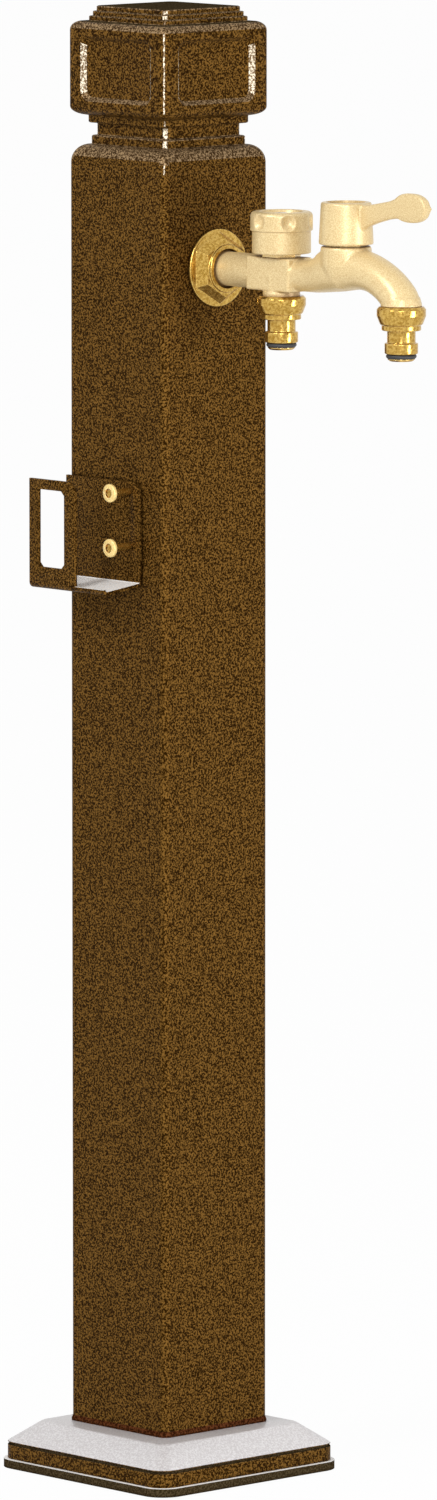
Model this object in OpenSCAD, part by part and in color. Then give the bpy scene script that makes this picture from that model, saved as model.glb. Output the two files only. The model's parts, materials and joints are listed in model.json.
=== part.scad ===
// Garden standpipe: a square coated post with a twin outlet brass tap and a hose bracket.
// The origin is the centre of the underside. The tap points along +X and the bracket is on the -Y face.

/* [Column] */
// Outer width of the square column
column_w = 80; // [76:1:100]
// Wall of the column
column_wall = 2; // [1.5:0.5:3]
// Outside corner radius of the column
column_corner_r = 4; // [2.5:0.5:6]
// Length of the column from the ground plate to the cap
column_h = 739; // [500:1:1100]

/* [Base] */
// Width of the square ground plate
plate_w = 142; // [134:1:180]
// Thickness of the ground plate
plate_t = 5; // [4:0.5:8]
// Corner radius of the ground plate
plate_corner_r = 14; // [10:1:18]
// Distance from the edge of the ground plate to the anchor holes
anchor_inset = 17; // [15:0.5:19]
// Diameter of the anchor holes
anchor_hole_d = 8.5; // [6:0.5:9]
// How far the ground plate shows round the base cover
cover_ledge = 2.5; // [1:0.25:5]
// Height of the upright band of the base cover
cover_band_h = 10; // [9:0.2:16]
// Height of the sloping part of the base cover
cover_slope_h = 11.6; // [9:0.2:20]
// Run of the sloping part of the base cover
cover_slope_run = 15; // [10:0.25:18]
// Rise of the base cover from there to the column
cover_crown_h = 0.4; // [0.2:0.1:4]
// Corner radius of the base cover
cover_corner_r = 11; // [6:1:14]
// Wall of the base cover
cover_wall = 2; // [1.5:0.5:3]

/* [Cap] */
// Height of the rounded shoulder of the cap
shoulder_h = 13.5; // [10:0.5:20]
// How far the shoulder draws in on each side
shoulder_inset = 7.5; // [5:0.5:8]
// Width of the lower ring
lower_ring_w = 63.5; // [62:0.5:68]
// Height of the lower ring
lower_ring_h = 5; // [3:0.5:8]
// Width of the square neck
neck_w = 59; // [57:0.5:61]
// Height of the square neck
neck_h = 7; // [5:0.2:12]
// Width of the upper ring
upper_ring_w = 66; // [62:0.5:70]
// Height of the upper ring
upper_ring_h = 4.4; // [3:0.2:8]
// Width of the panelled box
box_w = 80.8; // [76:0.2:96]
// Height of the rounded underside of the box
box_slope_h = 5; // [2:0.5:8]
// Height of the upright sides of the box
box_h = 43; // [42:0.5:60]
// Radius of the top edge of the box
box_edge_r = 5; // [3:0.5:7]
// Width of the step on top of the box
step_w = 65.5; // [61:0.5:68]
// Height of the step
step_h = 5.5; // [3:0.5:8]
// Width of the top slab
slab_w = 59.5; // [50:0.5:60]
// Height of the top slab
slab_h = 3; // [2:0.5:5]
// Width of the sunk panel on each side of the box
panel_w = 55; // [40:0.5:60]
// Height of the sunk panel
panel_h = 36; // [25:0.2:40]
// Depth of the sunk panel
panel_depth = 3; // [1:0.2:3.4]
// Corner radius of the sunk panel
panel_r = 5; // [2:0.5:8]
// Wall of the hollow cap casting
cap_wall = 4; // [3:0.5:5]
// Length of the plug that enters the column
plug_l = 22; // [12:1:40]
// Gap between the plug and the inside of the column
plug_gap = 0.3; // [0.2:0.1:0.6]

/* [Tap body] */
// Distance from the top of the column down to the tap axis
tap_drop = 54; // [45:0.5:200]
// Diameter of the shank between the wall flange and the block
shank_d = 19.3; // [18:0.1:20.5]
// Length of the shank from the column face to the block
shank_l = 34; // [27:0.5:47]
// Bore of the shank
shank_bore_d = 11; // [8:0.5:12]
// Diameter of the tail thread that passes through the column
tail_d = 20.9; // [20.6:0.1:22]
// Length of the tail behind the column face
tail_l = 25.5; // [24:0.5:28]
// Length of the block
block_l = 35; // [32:0.5:40]
// Width and height of the block
block_w = 19; // [19:0.2:24]
// Diameter of the neck between the two valves
neck_d = 18; // [16:0.2:19]
// Distance from the column face to the screw valve
screw_valve_x = 53.5; // [51:0.5:54]
// Distance from the column face to the ball valve
ball_valve_x = 106; // [102:0.5:107.5]
// Distance from the column face to the spout outlet
spout_x = 150.5; // [149.5:0.5:156]
// Height of the ball centre above the tap axis
ball_rise = 6; // [5:0.2:7]
// Diameter of the ball valve chamber
chamber_d = 28.6; // [26:0.2:28.8]
// Height of the chamber top above the tap axis
chamber_top = 18.5; // [18:0.1:20]
// Outside diameter of the spout
spout_d = 20.8; // [19:0.2:22]
// Bore of the spout
spout_bore_d = 12; // [9:0.5:13]
// Radius of the long bend of the spout
long_bend_r = 40; // [38:0.5:44]
// Radius of the short bend at the end of the spout
short_bend_r = 12; // [11.5:0.5:14]
// Turn of the long bend in degrees
long_bend_angle = 40; // [35:1:45]
// Diameter of the flared end of the spout
flare_d = 23.4; // [22:0.2:26]
// Height of the flared end of the spout
flare_h = 5; // [3:0.5:8]
// Depth of both outlet faces below the tap axis
outlet_drop = 12.3; // [12:0.1:14]
// Length of the threaded stub below each outlet face
stub_l = 7; // [5:0.5:8]

/* [Wall flange] */
// Outside diameter of the wall flange
flange_d = 44; // [42:0.5:60]
// Thickness of the rim of the wall flange
flange_rim_t = 2.2; // [1.5:0.1:4]
// Width across the corners of its six sided body
flange_hex_d = 41; // [36:0.5:42]
// Height of its six sided body
flange_hex_h = 6; // [4:0.5:8]
// Diameter of its front collar
flange_collar_d = 27; // [25:0.5:30]
// Height of its front collar
flange_collar_h = 1.8; // [1:0.2:4]

/* [Screw valve] */
// Outside diameter of the knob grip
knob_d = 35; // [33:0.5:38]
// Diameter of the skirt under the grip
knob_skirt_d = 33; // [30:0.5:33]
// Gap between the block and the knob skirt
knob_gap = 2; // [0.6:0.1:2.4]
// Height of the knob skirt
knob_skirt_h = 12.4; // [12:0.2:16]
// Height of the knob grip
knob_grip_h = 11; // [10.5:0.5:16]
// Number of thumb hollows round the grip
knob_hollows = 6; // [5:1:8]
// Diameter of the spindle
spindle_d = 7; // [6:0.2:7.2]
// Travel of the valve over two turns of the knob
valve_travel = 4; // [3:0.2:4.4]

/* [Ball valve] */
// Diameter of the ball
ball_d = 15; // [14:0.2:15.4]
// Bore of the ball
ball_bore_d = 8; // [6:0.2:9]
// Diameter of the foot of the lever hub
hub_base_d = 30.6; // [30:0.2:32]
// Diameter of the top of the lever hub
hub_d = 28.2; // [27:0.2:30]
// Gap between the chamber and the hub
hub_gap = 1; // [0.6:0.1:2]
// Height of the lever hub
hub_h = 23.5; // [22:0.5:28]
// Distance from the hub axis to the tip of the lever
lever_reach = 66; // [60:0.5:90]
// Thickness of the lever
lever_t = 5.5; // [4:0.5:8]
// Height of the round paddle
paddle_h = 16.4; // [14:0.2:20]
// Length of the round paddle
paddle_l = 27; // [24:0.5:36]
// Height of the paddle centre above the hub base
paddle_rise = 23; // [20:0.5:27]
// Height of the lever arm where it leaves the hub
arm_root_h = 11.5; // [8:0.5:14]

/* [Hose nipples] */
// Diameter of the collar
collar_d = 27.4; // [25:0.2:30]
// Height of the collar
collar_h = 10.5; // [10.1:0.1:14]
// Diameter of the shoulder ring
ring_d = 22; // [20:0.2:23]
// Height of the shoulder ring
ring_h = 2.8; // [2:0.2:5]
// Diameter of the waist that a hose connector grips
waist_d = 15.8; // [14:0.2:16.4]
// Height of the waist
waist_h = 7; // [4:0.2:8]
// Diameter of the tip ring
tip_d = 18.6; // [17.4:0.2:19]
// Height of the tip ring
tip_h = 6; // [5:0.2:9]
// Height of the end with the sealing ring
end_h = 4; // [3.8:0.2:6]
// Bore of the nipple
nipple_bore_d = 9.5; // [7:0.5:10]

/* [Water way] */
// Outside diameter of the riser pipe
pipe_d = 16; // [14:0.5:16]
// Bore of the riser pipe
pipe_bore_d = 12.4; // [9:0.2:12.4]
// Diameter of the inlet socket in the foot fitting
inlet_d = 18.6; // [15:0.1:19]
// Depth of the inlet socket
inlet_depth = 14; // [10:0.5:16]

/* [Bracket] */
// Height of the back end of the bracket's shelf above the ground
bracket_height = 511; // [300:1:560]
// Width of the bracket
bracket_w = 62; // [58:0.5:70]
// Height of its back plate
back_h = 59; // [50:0.5:80]
// Reach of its shelf from the column
shelf_reach = 30; // [28:0.5:50]
// Fall of its shelf toward the front in degrees
shelf_slope = 7; // [0:1:12]
// Thickness of its sheet
sheet_t = 2; // [1.5:0.1:3]
// Width of its front plate
front_w = 38; // [36:0.5:48]
// Height of its front plate
front_h = 62; // [56:0.5:80]
// Width of the window in the front plate
window_w = 21.7; // [15:0.1:24]
// Height of the window
window_h = 44; // [30:0.5:46]
// Distance from the top of the front plate to the window
window_drop = 5.7; // [4:0.1:8]
// Cut corner of the plates
plate_cut = 5; // [2:0.5:7]
// Distance between the two pegs
peg_spacing = 31; // [25:0.5:36]
// Distance from the near edge of the bracket to the pegs
peg_inset = 8.5; // [8:0.5:16]
// Diameter of the peg stem
peg_d = 4.2; // [4:0.1:6]
// Length of the peg stem
peg_l = 14; // [8:0.5:16]
// Diameter of the peg head
peg_head_d = 10.3; // [8:0.1:12]
// Height of the peg head
peg_head_h = 2.3; // [1.6:0.1:4]

/* [Hidden] */
$fn = 64;

// Gap between a thread and its socket
thread_gap = 0.05;
// Gap between a turning or sliding piece and its guide
run_gap = 0.05;
// Gap between a piece and the end of its socket
end_gap = 0.3;
// How far a cut runs past the face that it leaves
overrun = 1;
// Steps along the curve of the shoulder and the box edge
curve_steps = 8;

column_face = column_w / 2;
column_inside = column_w - 2 * column_wall;
column_top = plate_t + column_h;
tap_height = column_top - tap_drop;
anchor_spacing = plate_w - 2 * anchor_inset;
cover_w = plate_w - 2 * cover_ledge;
cover_h = cover_band_h + cover_slope_h + cover_crown_h;

// Levels of the cap above the end of the column
lower_ring_top = shoulder_h + lower_ring_h;
neck_top = lower_ring_top + neck_h;
upper_ring_top = neck_top + upper_ring_h;
box_bottom = upper_ring_top + box_slope_h;
box_top = box_bottom + box_h;
step_bottom = box_top + box_edge_r;
step_top = step_bottom + step_h;
slab_top = step_top + slab_h;
shoulder_straight = 3.5;
shoulder_curve_h = shoulder_h - shoulder_straight;

// Foot fitting
foot_flange_d = 36;
foot_flange_t = 4;
foot_spigot_d = 26;
foot_hex_d = 30;
foot_hex_h = 14;
foot_recess = 0.5;

// Width of the ledge round the collar of the wall flange
flange_ledge = 1;

// Compression ends of the riser pipe
pipe_stub_d = 22;
pipe_stub_l = 10;
pipe_socket_l = 12;
nut_across = 31;
nut_grip_l = 8;
nut_cap_t = 3;
olive_h = 4;
olive_d = 19;
nut_h = nut_grip_l + olive_h + nut_cap_t;

// Elbow behind the tap
elbow_d = 28;
elbow_leg_d = 26;
elbow_leg_l = 18;
elbow_bore_d = 11;

// Tail washer and locknut
washer_t = 1.5;
washer_d = 30;
locknut_across = 31;
locknut_h = 6.5;

foot_stub_z = plate_t + foot_flange_t + foot_hex_h;
foot_mouth_z = foot_stub_z + pipe_stub_l;
elbow_mouth_z = tap_height - elbow_leg_l - pipe_stub_l;
tail_end_x = column_face - tail_l;
tail_hole_d = tail_d + 2 * thread_gap;
elbow_mouth_x = column_face - column_wall - washer_t - locknut_h - end_gap;

// Screw valve, heights from the tap axis
seat_z = -4.5;
seat_bore_d = 8;
screw_chamber_d = 14.4;
jumper_washer_t = 2.2;
jumper_disc_t = 2.5;
jumper_disc_d = 12;
jumper_sleeve_d = 9;
jumper_sleeve_h = 7;
jumper_floor_t = 1.5;
jumper_rod_d = 5;
screw_bonnet_bottom = 5;
screw_hex_across = 22;
screw_hex_h = 4;
screw_gland_d = 13;
screw_gland_h = 6.5;
thrust_collar_d = 8.8;
thrust_collar_h = 1.5;
knob_wall = 3;
knob_recess_d = 22;
knob_recess_h = 3;
knob_edge_r = 3;
hollow_r = 5.5;
hollow_sink = 2.2;
hollow_turn = 180 / knob_hollows;
small_screw_d = 3;
small_head_d = 8;
small_head_h = 2;
small_screw_l = 9;
screw_slot_w = 1.2;
screw_slot_depth = 1;
ring_section = 1.4;
drive_w = 4.6;

block_top = block_w / 2;
jumper_z = seat_z + jumper_washer_t;
rod_bottom = jumper_z + jumper_floor_t + valve_travel + end_gap;
guide_top = block_top + screw_hex_h + end_gap;
collar_top = guide_top - end_gap;
collar_bottom = collar_top - thrust_collar_h;
gland_top = block_top + screw_hex_h + screw_gland_h;
knob_bottom = block_top + knob_gap;
knob_floor = knob_bottom + knob_skirt_h;
knob_top = knob_floor + knob_grip_h;
knob_recess_floor = knob_top - knob_recess_h;
spindle_top = knob_recess_floor - end_gap;
spindle_ring_z = (guide_top + gland_top) / 2;

// Ball valve, heights from the tap axis
seat_outer_d = 13;
seat_l = 9.5;
seat_lip_x = 5;
ball_gap = 0.4;
stem_bonnet_d = 19.6;
stem_hex_across = 23;
stem_hex_h = 4.5;
stem_gland_d = 14;
stem_d = 8;
stem_flange_d = 10.8;
stem_flange_h = 1.5;
stem_drive_w = 6;
tang_w = 4;
tang_l = 9;
tang_depth = 3;
hub_wall = 1.9;
hub_web_t = 8.5;
hub_recess_d = 22;
hub_recess_h = 3.5;
lever_screw_d = 3.8;
lever_head_d = 9;
lever_head_h = 2.4;
lever_screw_l = 8;

ball_top = ball_rise + ball_d / 2;
seat_pocket_d = seat_outer_d + 2 * thread_gap;
tang_bottom = ball_top - tang_depth;
stem_flange_z = ball_top + end_gap;
stem_flange_top = stem_flange_z + stem_flange_h;
stem_bonnet_bottom = ball_rise + seat_outer_d / 2 + end_gap;
stem_hex_z = chamber_top;
hub_bottom = chamber_top + hub_gap;
hub_top = hub_bottom + hub_h;
hub_web_top = hub_top - hub_recess_h;
hub_web_bottom = hub_web_top - hub_web_t;
stem_gland_top = hub_web_bottom - hub_gap;
stem_ring_z = (stem_hex_z + stem_gland_top) / 2;
stem_top = hub_web_top - end_gap;

// Spout path in the plane of the tap: the short bend ends straight down at the outlet
short_bend_x = spout_x - short_bend_r;
bend_join_angle = 90 - long_bend_angle;
bend_join_x = short_bend_x + short_bend_r * cos(bend_join_angle);
bend_join_z = -outlet_drop + short_bend_r * sin(bend_join_angle);
long_bend_x = bend_join_x - long_bend_r * cos(bend_join_angle);
long_bend_z = bend_join_z - long_bend_r * sin(bend_join_angle);
long_bend_top = long_bend_z + long_bend_r;
body_blend_l = 30;
joint_swell = 0.8;
bend_overlap_angle = 2;
chamber_blend_d = 26;
spout_blend_d = 24.4;

// Hose nipples, depths below the outlet face
nipple_washer_t = 2;
nipple_ring_section = 2.6;
nipple_ring_d = 17;
nipple_lip_h = 1.2;
nipple_lip_d = 15.4;
nipple_seat = stub_l + nipple_washer_t;
tip_z = -collar_h - ring_h - waist_h;
end_z = tip_z - tip_h;
nipple_l = collar_h + ring_h + waist_h + tip_h + end_h;
nipple_ring_z = end_z - nipple_ring_section / 2;
collar_edge = 1.6;

// Bracket
bend_r = 1.2;
bend_outer_r = bend_r + sheet_t;
shelf_drop = (shelf_reach - 2 * bend_outer_r) * tan(shelf_slope);
front_top = front_h - shelf_drop;
shelf_far_x = -column_face;
shelf_near_x = shelf_far_x + bracket_w;
peg_x = shelf_near_x - peg_inset;
peg_top_drop = 5.5;
peg_top_z = bracket_height + back_h - peg_top_drop;
peg_tail_d = 3;
peg_tail_l = 8;
peg_hole_d = 3.3;
peg_socket_d = 5;
peg_socket_depth = 1.2;
peg_nut_d = 7;
peg_nut_h = 5;
window_inset = 7.5;
window_cut = 2.5;

module rounded_square(width, radius) {
    inner = width - 2 * radius;
    square([width, inner], center = true);
    square([inner, width], center = true);
    for (x = [-1, 1], y = [-1, 1])
        translate([x * inner / 2, y * inner / 2])
            circle(r = radius);
}

module rounded_block(width, radius, height) {
    linear_extrude(height)
        rounded_square(width, radius);
}

// A rod between two points of the tap's plane, with its own diameter at each end
module rod(start, finish, start_d, finish_d) {
    run = finish - start;
    length = norm(run);
    translate([start[0], 0, start[1]])
        rotate([0, 90 - atan2(run[1], run[0]), 0])
            cylinder(h = length, d1 = start_d, d2 = finish_d);
}

// Places its children on the tap axis, at a distance from the column face and a height
module at_tap(x, z = 0) {
    translate([column_face + x, 0, tap_height + z])
        children();
}

// A round hole with its own length, straight up from the given height
module bore(diameter, bottom, top) {
    translate([0, 0, bottom])
        cylinder(d = diameter, h = top - bottom);
}

// Closes an outline that runs up its +X side with the same points on its -X side
function both_sides(points) =
    let (last = len(points) - 1)
        concat(points, [for (i = [last:-1:0]) [-points[i][0], points[i][1]]]);

// Extrudes an outline along Y and along X and keeps what the two share. The points run up its +X side
module square_turned(points, depth) {
    outline = both_sides(points);
    intersection() {
        rotate([90, 0, 0])
            linear_extrude(depth, center = true)
                polygon(outline);
        rotate([90, 0, 90])
            linear_extrude(depth, center = true)
                polygon(outline);
    }
}

module ring_shape(ring_r, section) {
    rotate_extrude()
        translate([ring_r, 0])
            circle(d = section);
}

module screw_slot(diameter, top) {
    translate([-diameter, -screw_slot_w / 2, top - screw_slot_depth])
        cube([2 * diameter, screw_slot_w, screw_slot_depth + overrun]);
}

module ground_plate() {
    color("#5d4020")
        difference() {
            rounded_block(plate_w, plate_corner_r, plate_t);
            bore(foot_spigot_d + 2 * thread_gap, -overrun, plate_t + overrun);
            for (x = [-1, 1], y = [-1, 1])
                translate([x * anchor_spacing / 2, y * anchor_spacing / 2, 0])
                    bore(anchor_hole_d, -overrun, plate_t + overrun);
        }
}

// Outer or inner shape of the base cover, drawn in by the given wall
module cover_shape(wall) {
    half = cover_w / 2 - wall;
    slope_top = cover_band_h + cover_slope_h - wall;
    top = slope_top + cover_crown_h;
    intersection() {
        square_turned([
            [half, 0],
            [half, cover_band_h],
            [half - cover_slope_run, slope_top],
            [column_face, top]
        ], cover_w);
        rounded_block(2 * half, cover_corner_r - wall, top);
    }
}

module base_cover() {
    inside_w = cover_w - 2 * cover_wall;
    color("#6a4a26")
        translate([0, 0, plate_t])
            difference() {
                cover_shape(0);
                translate([0, 0, -overrun])
                    rounded_block(inside_w, cover_corner_r - cover_wall, 2 * overrun);
                cover_shape(cover_wall);
                rounded_block(column_w + 2 * plug_gap, column_corner_r + plug_gap, cover_h + overrun);
            }
}

module column_tube() {
    inner_r = column_corner_r - column_wall;
    color("#5d4020")
        difference() {
            translate([0, 0, plate_t])
                rounded_block(column_w, column_corner_r, column_h);
            translate([0, 0, plate_t - overrun])
                rounded_block(column_inside, max(inner_r, run_gap), column_h + 2 * overrun);
            translate([column_face, 0, tap_height])
                rotate([0, 90, 0])
                    bore(tail_d + 2 * plug_gap, -column_wall - overrun, overrun);
            for (z = [0, peg_spacing])
                translate([peg_x, -column_face, peg_top_z - z])
                    rotate([90, 0, 0])
                        bore(peg_hole_d, -column_wall - overrun, overrun);
        }
}

// The +X side of the cap, from its seat on the column to its top
function cap_outline() = [
    [column_face, 0],
    for (i = [0:curve_steps])
        let (turn = 90 * i / curve_steps, inset = shoulder_inset * (1 - cos(turn)))
            [column_face - inset, shoulder_straight + shoulder_curve_h * sin(turn)],
    [lower_ring_w / 2, shoulder_h],
    [lower_ring_w / 2, lower_ring_top],
    [neck_w / 2, lower_ring_top],
    [neck_w / 2, neck_top],
    [upper_ring_w / 2, neck_top],
    [upper_ring_w / 2, upper_ring_top],
    for (i = [1:curve_steps])
        let (turn = 90 * i / curve_steps, flare = (box_w - upper_ring_w) * sin(turn))
            [(upper_ring_w + flare) / 2, upper_ring_top + box_slope_h * (1 - cos(turn))],
    for (i = [0:curve_steps])
        let (turn = 90 * i / curve_steps)
            [box_w / 2 - box_edge_r * (1 - cos(turn)), box_top + box_edge_r * sin(turn)],
    [step_w / 2, step_bottom],
    [slab_w / 2, step_top],
    [slab_w / 2, slab_top]
];

module panel_cut() {
    translate([0, -box_w / 2 + panel_depth, (box_bottom + box_top) / 2])
        rotate([90, 0, 0])
            linear_extrude(panel_depth + overrun)
                union() {
                    square([panel_w, panel_h - 2 * panel_r], center = true);
                    square([panel_w - 2 * panel_r, panel_h], center = true);
                    for (x = [-1, 1], y = [-1, 1])
                        translate([x * (panel_w / 2 - panel_r), y * (panel_h / 2 - panel_r)])
                            circle(r = panel_r);
                }
}

module column_cap() {
    plug_w = column_inside - 2 * plug_gap;
    hollow_w = neck_w - 2 * cap_wall;
    outer_w = max(box_w, column_w);
    color("#5d4020")
        translate([0, 0, column_top])
            difference() {
                union() {
                    intersection() {
                        square_turned(cap_outline(), outer_w);
                        rounded_block(outer_w, column_corner_r, slab_top);
                    }
                    translate([0, 0, -plug_l])
                        rounded_block(plug_w, column_wall, plug_l + overrun);
                }
                translate([0, 0, -plug_l - overrun])
                    rounded_block(hollow_w, column_wall, plug_l + overrun + box_top);
                for (side = [0:90:270])
                    rotate(side)
                        panel_cut();
            }
}

module foot_fitting() {
    mouth = foot_mouth_z;
    color("goldenrod")
        difference() {
            union() {
                bore(foot_spigot_d, foot_recess, plate_t + foot_flange_t);
                bore(foot_flange_d, plate_t, plate_t + foot_flange_t);
                translate([0, 0, plate_t + foot_flange_t])
                    cylinder(d = foot_hex_d, h = foot_hex_h, $fn = 6);
                bore(pipe_stub_d, foot_stub_z, mouth);
            }
            bore(inlet_d, foot_recess - overrun, foot_recess + inlet_depth);
            bore(pipe_bore_d, foot_recess, mouth);
            bore(pipe_d + 2 * thread_gap, mouth - pipe_socket_l, mouth + overrun);
        }
}

// A nut over a pipe stub, drawn with the mouth of the stub at its origin
module pipe_nut() {
    difference() {
        translate([0, 0, -nut_grip_l])
            cylinder(d = nut_across, h = nut_h, $fn = 6);
        bore(pipe_stub_d + 2 * thread_gap, -nut_grip_l - overrun, olive_h);
        bore(pipe_d + 2 * thread_gap, -nut_grip_l, nut_h);
    }
}

module pipe_olive() {
    difference() {
        cylinder(d = olive_d, h = olive_h);
        bore(pipe_d + 2 * thread_gap, -overrun, olive_h + overrun);
    }
}

module lower_pipe_nut() {
    color("goldenrod")
        translate([0, 0, foot_mouth_z])
            pipe_nut();
}

module upper_pipe_nut() {
    color("goldenrod")
        translate([0, 0, elbow_mouth_z])
            mirror([0, 0, 1])
                pipe_nut();
}

module pipe_olives() {
    color("gold") {
        translate([0, 0, foot_mouth_z])
            pipe_olive();
        translate([0, 0, elbow_mouth_z])
            mirror([0, 0, 1])
                pipe_olive();
    }
}

module riser_pipe() {
    bottom = foot_mouth_z - pipe_socket_l + end_gap;
    top = elbow_mouth_z + pipe_socket_l - end_gap;
    color("silver")
        difference() {
            bore(pipe_d, bottom, top);
            bore(pipe_bore_d, bottom - overrun, top + overrun);
        }
}

module tap_elbow() {
    leg_bottom = -elbow_leg_l;
    mouth = elbow_mouth_z - tap_height;
    color("goldenrod")
        translate([0, 0, tap_height])
            difference() {
                union() {
                    sphere(d = elbow_d);
                    rod([0, 0], [elbow_mouth_x, 0], elbow_d, elbow_d);
                    bore(elbow_leg_d, leg_bottom, 0);
                    bore(pipe_stub_d, mouth, leg_bottom);
                }
                rod([0, 0], [elbow_mouth_x, 0], elbow_bore_d, elbow_bore_d);
                rod([tail_end_x - end_gap, 0], [elbow_mouth_x + overrun, 0], tail_hole_d, tail_hole_d);
                bore(elbow_bore_d, mouth, 0);
                bore(pipe_d + 2 * thread_gap, mouth - overrun, mouth + pipe_socket_l);
                sphere(d = elbow_bore_d);
            }
}

module tail_washer() {
    front = -column_wall;
    color("dimgray")
        at_tap(0)
            difference() {
                rod([front - washer_t, 0], [front, 0], washer_d, washer_d);
                rod([front - washer_t - overrun, 0], [front + overrun, 0], tail_hole_d, tail_hole_d);
            }
}

module tail_locknut() {
    front = -column_wall - washer_t;
    color("goldenrod")
        at_tap(0)
            difference() {
                translate([front - locknut_h, 0, 0])
                    rotate([0, 90, 0])
                        cylinder(d = locknut_across, h = locknut_h, $fn = 6);
                rod([front - locknut_h - overrun, 0], [front + overrun, 0], tail_hole_d, tail_hole_d);
            }
}

// A six sided block that narrows upward, with two corners on the Y = 0 plane
module hex_taper(across_bottom, across_top, height) {
    low = across_bottom / 2;
    high = across_top / 2;
    intersection_for (turn = [30:60:150])
        rotate([90, 0, turn])
            linear_extrude(2 * across_bottom, center = true)
                polygon([[-low, 0], [low, 0], [high, height], [-high, height]]);
}

module wall_flange() {
    hex_top = flange_rim_t + flange_hex_h;
    collar_top_x = hex_top + flange_collar_h;
    color("gold")
        at_tap(0)
            difference() {
                union() {
                    rod([0, 0], [flange_rim_t, 0], flange_d, flange_d);
                    translate([flange_rim_t, 0, 0])
                        rotate([0, 90, 0])
                            hex_taper(flange_hex_d * cos(30), flange_collar_d + flange_ledge, flange_hex_h);
                    rod([flange_rim_t, 0], [collar_top_x, 0], flange_collar_d, flange_collar_d);
                }
                rod([-overrun, 0], [collar_top_x + overrun, 0], tail_hole_d, tail_hole_d);
            }
}

// The curved part of the spout, or its bore.
// The short bend is a little fatter and holds the end of the long one.
module spout_bends(diameter) {
    translate([short_bend_x, 0, -outlet_drop])
        rotate([90, 0, 0])
            rotate_extrude(angle = bend_join_angle)
                translate([short_bend_r, 0])
                    circle(d = diameter + joint_swell);
    translate([long_bend_x, 0, long_bend_z])
        rotate([90, 0, 0])
            rotate(bend_join_angle - bend_overlap_angle)
                rotate_extrude(angle = long_bend_angle + bend_overlap_angle)
                    translate([long_bend_r, 0])
                        circle(d = diameter);
    joint_ball(long_bend_x, long_bend_top, diameter);
}

// A ball that covers the place where two rods of the tap meet
module joint_ball(x, z, diameter) {
    translate([x, 0, z])
        sphere(d = diameter + joint_swell);
}

module tap_solid() {
    flange_top = flange_rim_t + flange_hex_h;
    neck_end = ball_valve_x - body_blend_l;
    outlet_in = flare_h / 4 - outlet_drop;
    rod([-tail_l, 0], [flange_top, 0], tail_d, tail_d);
    rod([0, 0], [shank_l + overrun, 0], shank_d, shank_d);
    translate([shank_l, -block_w / 2, -block_w / 2])
        cube([block_l, block_w, block_w]);
    translate([screw_valve_x, 0, 0])
        bore(tail_d, -outlet_drop - stub_l, 0);
    rod([shank_l + block_l - overrun, 0], [neck_end, 0], neck_d, neck_d);
    joint_ball(neck_end, 0, neck_d);
    rod([neck_end, 0], [ball_valve_x, ball_rise], neck_d, chamber_blend_d - joint_swell);
    translate([ball_valve_x, 0, ball_rise])
        sphere(d = chamber_blend_d);
    translate([ball_valve_x, 0, 0])
        bore(chamber_d, ball_rise, chamber_top);
    rod([ball_valve_x, ball_rise], [long_bend_x, long_bend_top], spout_blend_d, spout_d);
    spout_bends(spout_d);
    translate([spout_x, 0, -outlet_drop])
        cylinder(d1 = flare_d, d2 = spout_d, h = flare_h);
    translate([spout_x, 0, 0])
        bore(tail_d, -outlet_drop - stub_l, outlet_in);
}

module tap_cuts() {
    seat_face = ball_valve_x - seat_l;
    outlet_in = flare_h / 4 - outlet_drop;
    rod([-tail_l - overrun, 0], [screw_valve_x, 0], shank_bore_d, shank_bore_d);
    rod([screw_valve_x, 0], [seat_face + overrun, ball_rise], ball_bore_d, ball_bore_d);
    translate([screw_valve_x, 0, 0]) {
        bore(screw_chamber_d, seat_z, block_top + overrun);
        bore(seat_bore_d, -outlet_drop - stub_l - overrun, seat_z + overrun);
    }
    translate([ball_valve_x, 0, ball_rise])
        sphere(d = ball_d + 2 * ball_gap);
    translate([ball_valve_x, 0, 0]) {
        bore(ball_d + ball_gap, ball_rise, stem_bonnet_bottom);
        bore(stem_bonnet_d + 2 * thread_gap, stem_bonnet_bottom - end_gap, chamber_top + overrun);
    }
    translate([ball_valve_x, 0, ball_rise])
        rod([-seat_l, 0], [seat_l, 0], seat_pocket_d, seat_pocket_d);
    rod([ball_valve_x, ball_rise], [long_bend_x, long_bend_top], ball_bore_d, spout_bore_d);
    spout_bends(spout_bore_d);
    translate([spout_x, 0, 0])
        bore(spout_bore_d, -outlet_drop - stub_l - overrun, outlet_in);
}

module tap_body() {
    color("#d6b77a")
        at_tap(0)
            difference() {
                tap_solid();
                tap_cuts();
            }
}

module spindle_bonnet() {
    color("goldenrod")
        at_tap(screw_valve_x)
            difference() {
                union() {
                    bore(screw_chamber_d - 2 * thread_gap, screw_bonnet_bottom, block_top);
                    translate([0, 0, block_top])
                        cylinder(d = screw_hex_across, h = screw_hex_h, $fn = 6);
                    bore(screw_gland_d, block_top, gland_top);
                }
                bore(jumper_sleeve_d + 4 * run_gap, screw_bonnet_bottom - overrun, guide_top);
                bore(spindle_d + 2 * run_gap, guide_top - overrun, gland_top + overrun);
            }
}

// Cuts the groove of a sealing ring round a rod, with its centre at the given height
module ring_groove(rod_d, z) {
    translate([0, 0, z - ring_section / 2])
        difference() {
            cylinder(d = rod_d + overrun, h = ring_section);
            bore(rod_d - 2 * ring_section, -overrun, ring_section + overrun);
        }
}

module valve_spindle() {
    color("gold")
        at_tap(screw_valve_x)
            difference() {
                union() {
                    bore(jumper_rod_d, rod_bottom, collar_top);
                    bore(thrust_collar_d, collar_bottom, collar_top);
                    bore(spindle_d, collar_top, knob_floor);
                    translate([-drive_w / 2, -drive_w / 2, knob_floor])
                        cube([drive_w, drive_w, spindle_top - knob_floor]);
                }
                ring_groove(spindle_d, spindle_ring_z);
                bore(small_screw_d + 2 * thread_gap, spindle_top - small_screw_l, spindle_top + overrun);
            }
}

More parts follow.
